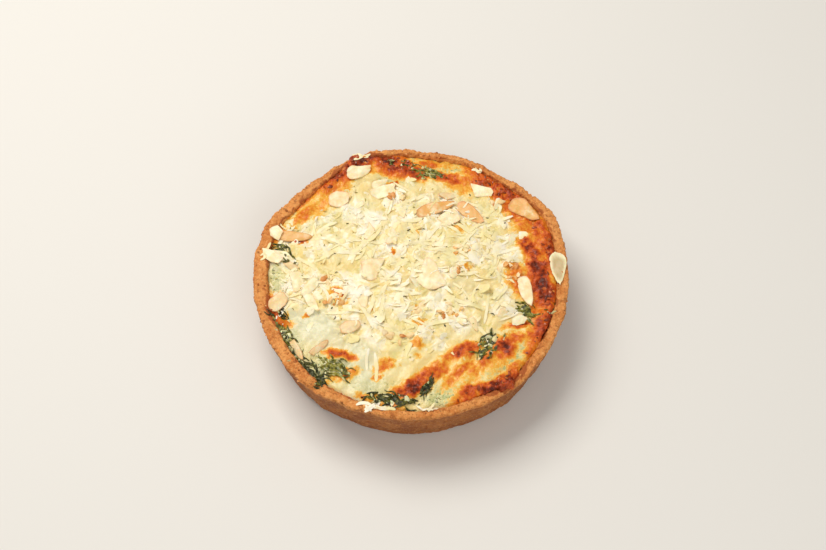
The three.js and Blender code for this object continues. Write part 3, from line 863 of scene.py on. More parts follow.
def spinach_material():
    """Wilted spinach: nearly black green, wet, with olive patches where cheese has coated it."""
    material, tree, shader = new_material("spinach_wilted")
    patches, veins = speckle(tree, 1.6, 5, 0.65), cells(tree, 1.6, "DISTANCE_TO_EDGE")
    lifted = times(tree, calc(tree, "SUBTRACT", attribute(tree, "coated"), 0.5), 0.28)
    shade = calc(tree, "ADD", patches, lifted)
    stops = [(0.3, "#1b1a08"), (0.45, "#3a3a10"), (0.55, "#706c22"), (0.65, "#a39b44"), (0.76, "#cac286")]
    lines = times(tree, between(tree, veins, 0.08, 0.0), 0.3)
    veined = blend(tree, lines, ramp(tree, shade, stops), "#7b8248")
    normal = bump(tree, veins, 0.25, 0.6, bump(tree, speckle(tree, 0.6, 4), 0.2, 0.7))
    link_all(tree, shader, {"Base Color": veined, "Roughness": 0.38, "IOR": 1.4, "Normal": normal})
    return material


def herb_material():
    """Dried herb: dark olive specks, matt, that pepper the cheese."""
    material, tree, shader = new_material("dried_herb_specks")
    stops = [(0.0, "#2a2410"), (0.16, "#5c5220"), (0.35, "#a09244"), (1.0, "#d0bd70")]
    shade = ramp(tree, attribute(tree, "tone"), stops)
    link_all(tree, shader, {"Base Color": shade, "Roughness": 0.7, "IOR": 1.45})
    return material


def table_material():
    """A plain pale table: matt and nearly white, so that the food's own colours carry."""
    material, tree, shader = new_material("table_pale_matt")
    link_all(tree, shader, {"Base Color": colour("#e4e2de"), "Roughness": 0.85, "IOR": 1.45})
    return material


def case_profile(angle):
    """The pastry case's profile at each angle, from the axis below to the axis above."""
    top = rim_top(angle)

    def wall(height):
        """The radius of the outer wall."""
        return wall_radius(height) * outline(angle) + crags(angle, height)

    flat = np.zeros_like(angle)
    crown = top + 0.15 * np.sin(29 * angle)
    outside, inside = wall(top), inner_radius(angle, top)
    pairs = [
        (flat, flat),
        (wall(0) - 2.4, flat),
        (wall(0) - 0.5, flat + 0.5),
        (wall(2.2), flat + 2.2),
        (wall(9), flat + 9),
        (wall(16), flat + 16),
        (wall(top - EDGE_ROUND), top - EDGE_ROUND),
        (outside - EDGE_ROUND, top),
        (outside * 0.45 + inside * 0.55, crown),
        (inside + EDGE_ROUND, top - 0.1),
        (inside, top - EDGE_ROUND),
        (inner_radius(angle, 14), flat + 14),
        (inner_radius(angle, FLOOR) - 0.6, flat + FLOOR + 1),
        (inner_radius(angle, FLOOR) - 2, flat + FLOOR),
        (flat, flat + FLOOR),
    ]
    return np.array(pairs)


def pastry_case(material):
    """The pastry case, with a sandy wall and a crumbly rim stained where cheese has run over it."""
    angle = np.arange(CRUST_SIDES) * 2 * math.pi / CRUST_SIDES
    corners = case_profile(angle)
    rows = [
        corners[k] + (corners[k + 1] - corners[k]) * step / steps
        for k, steps in enumerate(CASE_STEPS)
        for step in range(steps)
    ]
    rows = np.array(rows + [corners[-1]])
    for _ in range(2):
        rows[2:-2] = (rows[1:-3] + 2 * rows[2:-2] + rows[3:-1]) / 4
    radius, height = rows[:, 0], rows[:, 1]
    points = np.stack([radius * np.cos(angle), radius * np.sin(angle), height], axis=-1)
    around = np.roll(points, -1, axis=1) - np.roll(points, 1, axis=1)
    along = np.gradient(points, axis=0)
    normal = np.cross(around, along)
    normal /= np.maximum(np.linalg.norm(normal, axis=-1, keepdims=True), 1e-9)
    top = rim_top(angle)
    near_top = smoothstep(2.6, 0.9, top - height)
    inside = radius < inner_radius(angle, height) + 0.6
    free = smoothstep(0.2, 2.0, height) * np.where(inside & (height < 18), 0, 1)
    pits = PIT_DEPTH * smoothstep(0.25, 0.6, rough(points, 1.7, 3, 33.0))
    relief = UNEVEN_DEPTH * rough(points, 5.0) + GRAIN_DEPTH * rough(points, 1.3, 4) - pits
    crumbs = CRUMB_DEPTH * (beads(points, 1.5) - 0.55) + CRUMB_DEPTH * rough(points, 0.9, 3, 9.0)
    outer = wall_radius(top) * outline(angle)
    corner = near_top * smoothstep(1.6, 0.2, np.abs(radius - outer + 0.4))
    chipped = -CHIP_DEPTH * corner * smoothstep(0.15, 0.5, rough(points, 2.2, 3, 21.0))
    points += normal * (free * (relief + near_top * crumbs + chipped))[..., None]
    points[..., 2] = np.maximum(points[..., 2], 0)
    across = (radius - inner_radius(angle, top)) / (outer - inner_radius(angle, top))
    run = smoothstep(1.15, 0.75, across / np.maximum(spill(angle), 0.01) + 0.5 * rough(points, 3.0, 3, 4.0))
    singed = 0.75 * smoothstep(0.5, 0.0, across) * smoothstep(-0.25, 0.25, rough(points, 3.0, 4, 14.0))
    marked = np.maximum(run * (spill(angle) > 0.05), singed)
    stained = np.clip(smoothstep(1.6, 0.3, top - height) * marked, 0, 1)
    index = np.arange(len(rows) * CRUST_SIDES).reshape(len(rows), CRUST_SIDES)
    ahead = np.roll(index, -1, axis=1)
    quads = np.stack([index[1:-2], ahead[1:-2], ahead[2:-1], index[2:-1]], axis=-1).reshape(-1, 4)
    foot, floor = 0, int(index[-1, 0])
    faces = quads.tolist()
    faces += [(foot, b, a) for a, b in zip(index[1].tolist(), ahead[1].tolist())]
    faces += [(floor, a, b) for a, b in zip(index[-2].tolist(), ahead[-2].tolist())]
    vertices = points.reshape(-1, 3) + SHIFT
    rim = np.broadcast_to(smoothstep(3.5, 0.8, top - height), radius.shape)
    values = {"rim": rim, "stained": stained}
    piece = make_object("pastry_case", vertices, faces, material, values)
    loose = set(range(foot + 1, foot + CRUST_SIDES)) | set(range(floor + 1, floor + CRUST_SIDES))
    return without_points(piece, loose)


def without_points(piece, numbers):
    """The piece without some unused points."""
    edit = bmesh.new()
    edit.from_mesh(piece.data)
    edit.verts.ensure_lookup_table()
    bmesh.ops.delete(edit, geom=[edit.verts[n] for n in numbers], context="VERTS")
    edit.to_mesh(piece.data)
    edit.free()
    return piece


def browned_map(x, y):
    """How browned the cheese is, from 0 to 1."""
    flat = np.stack([x, y, 0 * x], axis=-1)
    wx, wy = warped(x, y)
    angle = np.arctan2(y, x)
    share = np.hypot(x, y) / inner_radius(angle, RIM_HEIGHT)
    edge = np.max([dark * within(angle, at, half) for at, half, dark in BROWNED_EDGE], axis=0)
    band = edge * smoothstep(0.89, 0.975, share + 0.04 * rough(flat, 3.0, 4, 3.0))
    spots = stain(BROWNED, wx, wy)
    mottled = 0.93 + 0.32 * rough(flat, 2.2, 4, 51.0) + 0.2 * rough(flat, 6.5, 2, 61.0)
    return np.clip(np.maximum(spots, band) * mottled, 0, 1)


def heap_spread(x, y):
    """The outline of the heap of toppings: 1 in its middle and 0 past its ragged edge."""
    flat = np.stack([x, y, 0 * x], axis=-1)
    away = np.min([in_oval(oval, x, y) for oval in HEAP_OVALS], axis=0)
    return 1 - smoothstep(0.8, 1.08, away + 0.16 * rough(flat, 9, 3, 7.0))


def heap_map(x, y, browned):
    """Where toppings lie, from 0 to 1."""
    flat = np.stack([x, y, 0 * x], axis=-1)
    clumped = smoothstep(-0.5, -0.1, rough(flat, 6, 3, 27.0)) * (1 - stain(SMOOTH, x, y))
    return heap_spread(x, y) * clumped * (1 - stain(BARE, x, y)) * (1 - 0.9 * smoothstep(0.3, 0.6, browned))


def filling_edge(angle):
    """The radius at which the filling ends, where it has run over as well."""
    share = overrun(angle)
    spread = np.maximum(0, (share - 0.3) / 0.7) * OVERRUN_WIDTH * spill(angle)
    ring = np.stack([30 * np.cos(angle), 30 * np.sin(angle), 0 * angle], axis=-1)
    torn = 0.9 * rough(ring, 1.6, 3, 15.0) * np.minimum(1, share / 0.3)
    return inner_radius(angle, rim_top(angle)) - 0.2 + 1.25 * spread + np.maximum(torn, -0.8)


def blurred(field):
    """Each value of a grid averaged with its neighbours."""
    wide = np.pad(field, 1, mode="edge")
    rows = (wide[:-2] + 2 * wide[1:-1] + wide[2:]) / 4
    return (rows[:, :-2] + 2 * rows[:, 1:-1] + rows[:, 2:]) / 4


def melted_cheese(x, y, heap):
    """Strands and shavings melted into one another over the heap: (height, tone, outline)."""
    draw = np.random.default_rng(SEED)
    height, tone, outlined = np.zeros_like(x), np.full_like(x, 0.3), np.zeros_like(x)
    likely = (heap * smoothstep(0.15, 0.5, heap)).ravel()
    middles = draw.choice(len(likely), MELTED_PIECES, p=likely / likely.sum())
    for number, middle in enumerate(middles):
        strand = number % SHAVING_EVERY > 0
        if strand:
            length, width = draw.uniform(*STRAND_LENGTH), draw.uniform(*STRAND_WIDTH)
        else:
            length, width = draw.uniform(*SHAVING_SIZE, 2)
        cx, cy = x.ravel()[middle], y.ravel()[middle]
        turn, bend = draw.uniform(0, math.pi), draw.uniform(*STRAND_BEND) if strand else 0
        level, lean = draw.uniform(*MELTED_HEIGHT), draw.uniform(-0.06, 0.06, 2)
        shade, facing = draw.random(), draw.uniform(0, 2 * math.pi, 4)
        near = np.nonzero((np.abs(x - cx) < length) & (np.abs(y - cy) < length))
        dx, dy = x[near] - cx, y[near] - cy
        along = dx * math.cos(turn) + dy * math.sin(turn)
        across = dy * math.cos(turn) - dx * math.sin(turn) - bend * np.cos(math.pi * along / length)
        if strand:
            depth = np.minimum(width / 2 - np.abs(across), length / 2 - np.abs(along))
        else:
            sides = [width / 2.6 - along * math.cos(way) - across * math.sin(way) for way in facing]
            depth = np.minimum(np.min(sides, axis=0), width / 2 - np.hypot(along, across))
        inside = smoothstep(-0.25, 0.25, depth)
        raised = (level + lean[0] * along + lean[1] * across) * inside
        higher = raised > height[near]
        height[near] = np.where(higher, raised, height[near])
        tone[near] = np.where(higher & (inside > 0.4), shade, tone[near])
        line = inside * (1 - smoothstep(0.1, 0.5, depth)) * (shade > 0.7)
        outlined[near] = np.where(higher, line, outlined[near])
    return blurred(blurred(height)), tone, outlined


def filling_top(x, y, browned, custard, melted):
    """The height of the melted cheese, with its blisters, creases and small bubbles."""
    flat = np.stack([x, y, 0 * x], axis=-1)
    height = surface(x, y) + SWELL_DEPTH * rough(flat, 5.0, 3) + RIPPLE_DEPTH * rough(flat, 1.7, 3) + melted
    height -= HEAP_SUNK * smoothstep(0.2, 0.6, heap_spread(x, y))
    blistered = smoothstep(0.25, 0.7, browned)
    bubbles = BUBBLE_DEPTHS[0] * beads(flat, 1.7) + BUBBLE_DEPTHS[1] * beads(flat, 0.9)
    height += blistered * (bubbles + RIDGE_DEPTH * rough(flat, 1.9, 4, 71.0) - 0.2)
    lumps = CUSTARD_DEPTHS[0] * rough(flat, 2.2, 4, 2.0) + CUSTARD_DEPTHS[1] * beads(flat, 1.6)
    height += custard * (lumps - 0.3)
    return height


def filling_body(material):
    """The egg and cheese filling: its surface runs over the rim in three places."""
    across, deep = disc_grid(FILLING_CELLS)
    share = np.hypot(across, deep)
    angle = np.arctan2(deep, across)
    limit = filling_edge(angle)
    x, y = across * limit, deep * limit
    browned = browned_map(x, y)
    wx, wy = warped(x, y)
    custard, pool = stain(CUSTARD, wx, wy), stain(POOLS, wx, wy)
    custard = custard * (1 - smoothstep(0.25, 0.5, browned))
    heap = heap_map(x, y, browned)
    melted, tone, outlined = melted_cheese(x, y, heap)
    height = filling_top(x, y, browned, custard, melted)
    rim = rim_top(angle)
    height += 0.8 * smoothstep(0.3, 0.7, browned) * smoothstep(0.88, 0.97, share)
    climbed = smoothstep(0.2, 0.6, overrun(angle))
    over = climbed * smoothstep(-0.8, 0.3, share * limit - inner_radius(angle, rim))
    height = height * (1 - over) + np.maximum(height, rim + 0.45 + 0.25 * browned) * over
    fall = smoothstep(1.3, 0.0, (1 - share) * limit)
    low = (height - 0.6) * (1 - climbed) + (rim - 0.25) * climbed
    height = height * (1 - fall) + low * fall
    top = np.stack([x, y, height], axis=-1)
    index, upper = grid_faces(FILLING_CELLS, FILLING_CELLS)
    border = grid_border(index)
    loops, rings = [border], []
    around = angle.ravel()[border]
    for number, level in enumerate(FILLING_RINGS):
        radius = inner_radius(around, level) - FIT_GAP
        ring = [radius * np.cos(around), radius * np.sin(around), 0 * radius + level]
        rings.append(np.stack(ring, axis=-1))
        loops.append(np.arange(len(border)) + FILLING_CELLS**2 + number * len(border))
    faces = upper.tolist()
    for upper_loop, lower_loop in zip(loops, loops[1:]):
        ahead, below = np.roll(upper_loop, -1), np.roll(lower_loop, -1)
        faces += np.stack([upper_loop, lower_loop, below, ahead], axis=-1).tolist()
    faces.append(loops[-1][::-1].tolist())
    vertices = np.concatenate([top.reshape(-1, 3), *rings])
    pad = np.zeros(len(vertices) - FILLING_CELLS**2)
    strewn = heap * smoothstep(1.0, 4.0, limit * (1 - share))
    fields = {
        "browned": browned,
        "custard": custard,
        "pool": pool,
        "heap": heap,
        "strewn": strewn,
        "nutty": stain(NUTTY, x, y),
        "singed": smoothstep(0.4, 0.7, browned) * smoothstep(0.86, 0.94, share) * (share < 0.985),
        "peppered": heap_spread(x, y) * (1 - smoothstep(0.3, 0.6, browned)),
        "melted": melted,
        "tone": tone,
        "outlined": outlined,
    }
    values = {key: np.concatenate([field.ravel(), pad]) for key, field in fields.items()}
    piece = make_object("cheese_and_egg_filling", vertices + SHIFT, faces, material, values)
    return piece, BVHTree.FromPolygons(top.reshape(-1, 3).tolist(), upper.tolist())


def shifted(x, y, along, across, turn):
    """The point that lies so far along and across from another one, at a turn in degrees."""
    angle = math.radians(turn)
    right = x + along * math.cos(angle) - across * math.sin(angle)
    return right, y + along * math.sin(angle) + across * math.cos(angle)


def leaf_sheet(x, y, length, width, turn, curl, seed, folds=1.0):
    """One wilted leaf or scrap of leaf, crumpled along the surface."""
    rows, columns = max(10, int(length * 2.6)), max(5, int(width * 2.6))
    share, side = np.meshgrid(np.linspace(-0.5, 0.5, rows), np.linspace(-1, 1, columns), indexing="ij")
    half = width / 2 * np.maximum(0.15, np.cos(0.95 * math.pi * share) ** 0.8)
    drawn = np.stack([share * length, side * half, 0 * share + seed], axis=-1)
    ragged = 1 + 0.35 * rough(drawn, 2.2, 3, seed) * np.abs(side)
    along = share * length
    across = side * half * ragged + curl * np.cos(math.pi * share) + 0.6 * rough(drawn, 3.0, 2, seed + 3)
    px, py = shifted(x, y, along, across, turn)
    crumple = 0.55 * rough(drawn, 2.4, 2, seed + 8) + 0.3 * np.sin(2.2 * across + 1.1 * along + seed)
    height = surface(px, py) + LEAF_SUNK + folds * crumple
    return sheet_solid(np.stack([px, py, height], axis=-1), LEAF_THICKNESS)


def wilted_leaf(spec, material, number):
    """A spinach leaf with the thin strings and torn scraps that lie along it."""
    name, x, y, length, width, turn, curl, coated = spec
    draw = random.Random(SEED + number)
    sheets = [leaf_sheet(x, y, length, width * 0.6, turn, curl, number * 3.1)]
    for k in range(int(length * 1.7)):
        along, across = draw.uniform(-0.5, 0.5) * length, draw.uniform(-0.55, 0.55) * width
        px, py = shifted(x, y, along, across + curl * 0.6, turn)
        size = (draw.uniform(3, 8), draw.uniform(0.35, 0.95))
        scrap = (*size, turn + draw.uniform(-45, 45), draw.uniform(-1.2, 1.2))
        sheets.append(leaf_sheet(px, py, *scrap, number * 3.1 + k + 1, 0.9))
    vertices, faces = joined(sheets)
    values = {"coated": np.full(len(vertices), coated), "leafy": np.ones(len(vertices))}
    return make_object("wilted_" + name, vertices + SHIFT, faces, material, values, LEAF_CREASE)


def broken(angle, radius, breaks, seed):
    """Cuts an outline short with a few straight breaks."""
    draw = random.Random(seed)
    for _ in range(breaks):
        facing, reach = draw.uniform(0, 2 * math.pi), draw.uniform(0.45, 0.8)
        radius = np.minimum(radius, reach / np.maximum(np.cos(angle - facing), 0.02))
    return radius


def slice_sheet(length, width, seed, breaks, bow, thickness, cells_across, taper=0.0):
    """A thin slice with an oval outline, drawn to a point when tapered and here and there broken
    straight, a little bowed. Gives the distance of each point from the middle as well."""
    a, b = disc_grid(cells_across)
    radius, angle = np.hypot(a, b), np.arctan2(b, a)
    ring = np.stack([1.2 * np.cos(angle), 1.2 * np.sin(angle), 0 * a + seed], axis=-1)
    whole = 1 - 0.1 * np.abs(np.sin(angle)) ** 3 - 0.06 * np.cos(2 * angle + 0.4) ** 4
    reach = broken(angle, whole, breaks, int(10 * seed)) * (1 + 0.09 * rough(ring, 0.7, 3, seed))
    narrowed = 1 - taper * ((1 + a) / 2) ** 1.6
    x, y = a * reach * length / 2, b * reach * narrowed * width / 2
    local = np.stack([x, y, 0 * x + seed], axis=-1)
    z = bow * (0.5 - radius**2) + 0.3 * rough(local, 3.4, 3, seed)
    vertices, faces = sheet_solid(np.stack([x, y, z], axis=-1), thickness)
    return vertices, faces, np.concatenate([radius.ravel(), radius.ravel()])


def rests_on(melted_top, x, y):
    """The height of what lies under a point: the melted filling, or the rim."""
    hit = melted_top.ray_cast(Vector((x, y, RAY_HEIGHT)), Vector((0, 0, -1)))[0]
    angle = np.array(math.atan2(y, x))
    over_rim = math.hypot(x, y) > inner_radius(angle, RIM_HEIGHT) - 0.2
    return max(hit.z if hit else 0, float(rim_top(angle)) if over_rim else 0)


def turned(vertices, turn, tilt):
    """A piece turned about z after it is tilted about its length, in degrees."""
    spin, lean = math.radians(turn), math.radians(tilt)
    cos, sin = math.cos(spin), math.sin(spin)
    about_z = np.array([[cos, -sin, 0], [sin, cos, 0], [0, 0, 1]])
    cos, sin = math.cos(lean), math.sin(lean)
    about_x = np.array([[1, 0, 0], [0, cos, -sin], [0, sin, cos]])
    return vertices @ (about_z @ about_x).T


def laid(melted_top, vertices, x, y, turn, tilt):
    """A stiff piece laid down so that only the highest bumps under it come through it a little."""
    moved = turned(vertices, turn, tilt) + [x, y, 0]
    under = moved[len(moved) // 2 :]
    clearance = [rests_on(melted_top, px, py) - pz for px, py, pz in under.tolist()]
    return moved + [0, 0, np.percentile(clearance, FLAKE_CLEAR) - FLAKE_SUNK]


def draped(melted_top, vertices, x, y, turn, lift):
    """A soft strip that follows what it lies on."""
    moved = turned(vertices, turn, 0) + [x, y, 0]
    grid = moved.reshape(2, STRIP_ROWS, -1, 3)
    middle = grid[:, :, grid.shape[2] // 2, :].mean(axis=0)
    heights = np.array([rests_on(melted_top, px, py) for px, py, _ in middle.tolist()])
    smooth = np.convolve(np.pad(heights, 1, mode="edge"), [0.3, 0.4, 0.3], mode="valid")
    grid[..., 2] = 0.5 * grid[..., 2] + smooth[None, :, None] + lift
    return grid.reshape(-1, 3)


def large_flakes(melted_top, material):
    """The large almond and cheese flakes that are each seen singly."""
    parts, edges, tans, topped = [], [], [], []
    for number, (x, y, length, width, turn, tilt, tan, breaks, taper) in enumerate(LARGE_FLAKES):
        size = (length * FLAKE_LARGER[0], width * FLAKE_LARGER[1])
        made = (FLAKE_BOW, FLAKE_THICKNESS, FLAKE_CELLS)
        vertices, faces, edge = slice_sheet(*size, 5.3 * number + 1, breaks, *made, taper)
        parts.append((laid(melted_top, vertices, x, y, turn, tilt), faces))
        edges.append(edge)
        tans.append(np.full(len(edge), tan))
        upper = np.arange(len(edge)) < len(edge) // 2
        topped.append(upper * (edge < 0.85) * (math.hypot(x, y) < TOPPED_RADIUS))
    vertices, faces = joined(parts)
    values = {"edge": np.concatenate(edges), "tan": np.concatenate(tans), "topped": np.concatenate(topped)}
    return make_object("large_almond_flakes", vertices + SHIFT, faces, material, values, TOPPING_CREASE)


def strip_sheet(length, width, bow, seed, thickness=0.6, curl=0.5, rows=STRIP_ROWS):
    """A strip of grated cheese, curved along its length and rising in the middle."""
    share, side = np.meshgrid(np.linspace(-0.5, 0.5, rows), np.linspace(-1, 1, 3), indexing="ij")
    local = np.stack([share * length, side, 0 * share + seed], axis=-1)
    half = width / 2 * (1 - 0.6 * np.abs(2 * share) ** 6) * (1 + 0.35 * rough(local, 2.0, 3, seed))
    x = share * length
    y = side * half + bow * np.cos(math.pi * share)
    z = curl * (np.cos(math.pi * share) - 0.5) + 0.2 * rough(local, 2.0, 2, seed + 4)
    return sheet_solid(np.stack([x, y, z], axis=-1), thickness)


def crumb(radius, seed, flatness=0.7):
    """A small broken crumb."""
    faces_of = [(0, 1, 2), (0, 2, 3), (0, 3, 4), (0, 4, 1), (5, 2, 1), (5, 3, 2), (5, 4, 3), (5, 1, 4)]
    corners = np.array([(0, 0, 1), (1, 0, 0), (0, 1, 0), (-1, 0, 0), (0, -1, 0), (0, 0, -1)], dtype=float)
    middles = {}
    points = corners.tolist()
    faces = []
    for a, b, c in faces_of:
        ids = []
        for pair in ((a, b), (b, c), (c, a)):
            key = tuple(sorted(pair))
            if key not in middles:
                middle = (corners[pair[0]] + corners[pair[1]]) / 2
                middles[key] = len(points)
                points.append((middle / np.linalg.norm(middle)).tolist())
            ids.append(middles[key])
        faces += [(a, ids[0], ids[2]), (b, ids[1], ids[0]), (c, ids[2], ids[1]), tuple(ids)]
    points = np.array(points)
    points *= (radius * (1 + 0.7 * rough(points, 0.9, 2, seed)))[:, None] * [1.25, 0.85, flatness]
    return points, np.array(faces)


def shape_set(name, shapes):
    """A collection of loose shapes for scattering. Each is (vertices, faces) or has edge values too."""
    group = bpy.data.collections.new(name)
    for number, shape in enumerate(shapes):
        values = {"edge": shape[2]} if len(shape) > 2 else None
        piece = make_object(f"{name}_{number}", shape[0], shape[1], values=values, crease=TOPPING_CREASE)
        bpy.context.scene.collection.objects.unlink(piece)
        group.objects.link(piece)
    return group


def random_value(tree, low, high, seed):
    """A random number for each topping."""
    inputs = {"Min": low, "Max": high, "Seed": seed}
    return add(tree, "FunctionNodeRandomValue", inputs, data_type="FLOAT").outputs[1]


def rotation(tree, turns):
    """A rotation from turns about X, Y or Z."""
    euler = add(tree, "ShaderNodeCombineXYZ", turns).outputs[0]
    return add(tree, "FunctionNodeEulerToRotation", {"Euler": euler}).outputs[0]


def rotated(tree, first, second):
    """One rotation, and the other about the axes that it turned."""
    inputs = {"Rotation": first, "Rotate By": second}
    return add(tree, "FunctionNodeRotateRotation", inputs, rotation_space="LOCAL").outputs[0]


def stored(tree, toppings, name, value):
    """The toppings with a number held by name on each of them."""
    inputs = {"Geometry": toppings, "Name": name, "Value": value}
    settings = {"data_type": "FLOAT", "domain": "INSTANCE"}
    return add(tree, "GeometryNodeStoreNamedAttribute", inputs, **settings).outputs[0]


def scatter_tree():
    """Strews the shapes of a collection over a surface, where a named value says how thickly."""
    tree = bpy.data.node_groups.new("strew_toppings", "GeometryNodeTree")
    for name, kind in STREW_INPUTS:
        tree.interface.new_socket(name, in_out="INPUT", socket_type="NodeSocket" + kind)
    tree.interface.new_socket("Toppings", in_out="OUTPUT", socket_type="NodeSocketGeometry")
    given = add(tree, "NodeGroupInput").outputs
    cover = add(tree, "GeometryNodeInputNamedAttribute", {"Name": given["Where"]}, data_type="FLOAT")
    inputs = {
        "Mesh": given["Surface"],
        "Distance Min": given["Spacing"],
        "Density Max": given["Most on a square metre"],
        "Density Factor": cover.outputs[0],
        "Seed": given["Seed"],
    }
    spread = add(tree, "GeometryNodeDistributePointsOnFaces", inputs, distribute_method="POISSON").outputs
    leans = [times(tree, random_value(tree, -1.0, 1.0, seed), given["Tilt"]) for seed in (11, 12)]
    leaning = rotation(tree, {"X": leans[0], "Y": leans[1]})
    spinning = rotation(tree, {"Z": random_value(tree, 0.0, 2 * math.pi, 13)})
    inputs = {"Collection": given["Shapes"], "Separate Children": True, "Reset Children": True}
    shapes = add(tree, "GeometryNodeCollectionInfo", inputs).outputs[0]
    inputs = {
        "Points": spread["Points"],
        "Instance": shapes,
        "Pick Instance": True,
        "Rotation": rotated(tree, spread["Rotation"], rotated(tree, leaning, spinning)),
        "Scale": random_value(tree, given["Smallest"], given["Largest"], 14),
    }
    strewn = add(tree, "GeometryNodeInstanceOnPoints", inputs).outputs[0]
    lift = random_value(tree, given["Lowest"], given["Highest"], 15)
    upward = add(tree, "ShaderNodeCombineXYZ", {"Z": lift}).outputs[0]
    lifted = add(tree, "GeometryNodeSetPosition", {"Geometry": strewn, "Offset": upward}).outputs[0]
    toned = stored(tree, lifted, "tone", random_value(tree, 0.0, 1.0, 16))
    tanned = stored(tree, toned, "tan", random_value(tree, 0.0, MOST_TAN, 17))
    real = add(tree, "GeometryNodeRealizeInstances", {"Geometry": tanned}).outputs[0]
    coated = add(tree, "GeometryNodeSetMaterial", {"Geometry": real, "Material": given["Material"]})
    add(tree, "NodeGroupOutput", {"Toppings": coated.outputs[0]})
    return tree


def strew(name, tree, ground, settings):
    """The toppings that the tree strews over the ground, as one plain mesh object."""
    base = bpy.data.objects.new(name + "_ground", ground.data)
    bpy.context.scene.collection.objects.link(base)
    modifier = base.modifiers.new("strew", "NODES")
    modifier.node_group = tree
    for item in tree.interface.items_tree:
        if item.in_out == "INPUT" and item.name in settings:
            modifier[item.identifier] = settings[item.name]
    evaluated = base.evaluated_get(bpy.context.evaluated_depsgraph_get())
    mesh = bpy.data.meshes.new_from_object(evaluated)
    mesh.name = name
    bpy.data.objects.remove(base)
    piece = bpy.data.objects.new(name, mesh)
    bpy.context.scene.collection.objects.link(piece)
    return piece


def strips_in_one(name, strips, material):
    """One piece from strips that have been laid down. Each is (vertices, faces, tone)."""
    vertices, faces = joined([strip[:2] for strip in strips])
    tones = np.concatenate([np.full(len(strip[0]), strip[2]) for strip in strips])
    return make_object(name, vertices + SHIFT, faces, material, {"tone": tones}, TOPPING_CREASE)


def rim_shreds(melted_top, material):
    """The few strips of grated cheese that lie over the rim."""
    draw = random.Random(SEED)
    strips = []
    for x, y, length, turn, count in RIM_SHREDS:
        for k in range(count):
            vertices, faces = strip_sheet(*[draw.uniform(*ends) for ends in RIM_SHRED_RANGES], k + x)
            px, py = shifted(x, y, draw.uniform(-0.5, 0.5) * length, 0, turn)
            px, py = px + draw.uniform(-0.6, 0.6), py + draw.uniform(-0.9, 0.9)
            placed = draped(melted_top, vertices, px, py, turn + draw.uniform(-60, 60), STRIP_LIFT_RIM)
            strips.append((placed, faces, draw.random()))
    return strips_in_one("cheese_shreds_on_rim", strips, material)


def loose_shreds(draw):
    """More long shreds, listed as those that are seen singly, where the heap covers the filling."""
    tried = [[draw.uniform(*ends) for ends in LOOSE_SHRED_PLACES] for _ in range(6 * LOOSE_SHREDS)]
    x, y = np.array(tried).T
    covered = np.nonzero(heap_map(x, y, browned_map(x, y)) > LOOSE_SHRED_COVER)[0][:LOOSE_SHREDS]
    return [(x[k], y[k], *[draw.uniform(*ends) for ends in LOOSE_SHRED_RANGES]) for k in covered]


def long_shreds(melted_top, material):
    """The long shreds of cheese over the heap, half sunk in what has melted."""
    draw = random.Random(SEED + 3)
    strips = []
    for number, (x, y, length, width, turn, bow) in enumerate(LONG_SHREDS + loose_shreds(draw)):
        vertices, faces = strip_sheet(length, width, bow, 1.7 * number, 0.45, 0.5)
        placed = draped(melted_top, vertices, x, y, turn, STRIP_LIFT_HEAP)
        strips.append((placed, faces, draw.uniform(0.15, 0.55)))
    return strips_in_one("long_cheese_shreds", strips, material)


def topping_shapes():
    """The loose shapes of the small toppings: strips and shavings of cheese, slices of almond, chips
    of nut, cheese and crust, specks of herb and grit from the pastry."""
    size = random.Random(SEED + 1).uniform
    return {
        "strips": [
            strip_sheet(size(5, 13), size(0.7, 1.5), size(-1.8, 1.8), 2.7 * k, 0.35, 0.25, 9)
            for k in range(12)
        ],
        "shavings": [slice_sheet(size(4, 9), size(3, 6), 3.1 * k + 40, 5, 0.2, 0.3, 11) for k in range(12)],
        "slices": [
            slice_sheet(size(7, 11), size(4.5, 7), 4.3 * k + 70, 2 + k % 3, 0.2, 0.32, 15, 0.15 * k)
            for k in range(5)
        ],
        "chips": [crumb(size(0.8, 1.3), 2.3 * k + 5, size(0.35, 0.6)) for k in range(8)],
        "specks": [
            strip_sheet(size(0.5, 1.4), 0.26, 0.1 * k - 0.2, 2.3 * k + 55, 0.2, 0.1, 4) for k in range(6)
        ],
        "grit": [crumb(size(0.2, 0.34), 2.3 * k + 55) for k in range(4)],
    }


def strewing(shapes, where, material, spacing, most, tilt, heights, sizes, seed):
    """What the node tree is given, from lengths in mm."""
    return {
        "Shapes": shapes,
        "Where": where,
        "Material": material,
        "Spacing": spacing * MM,
        "Most on a square metre": most,
        "Tilt": tilt,
        "Lowest": heights[0] * MM,
        "Highest": heights[1] * MM,
        "Smallest": sizes[0],
        "Largest": sizes[1],
        "Seed": seed,
    }


def strewn_toppings(tree, filling, case, flakes, materials):
    """All the small toppings: grated cheese, shavings, almond flakes, nuts, crumbs and herbs."""
    grounds = {"rim": case, "topped": flakes}
    loose = topping_shapes()
    pieces = []
    for name, kind, coat, where, *rest in STREWN:
        settings = strewing(shape_set(name + "_shapes", loose[kind]), where, materials[coat], *rest)
        pieces.append(strew(name, tree, grounds.get(where, filling), settings))
    return pieces


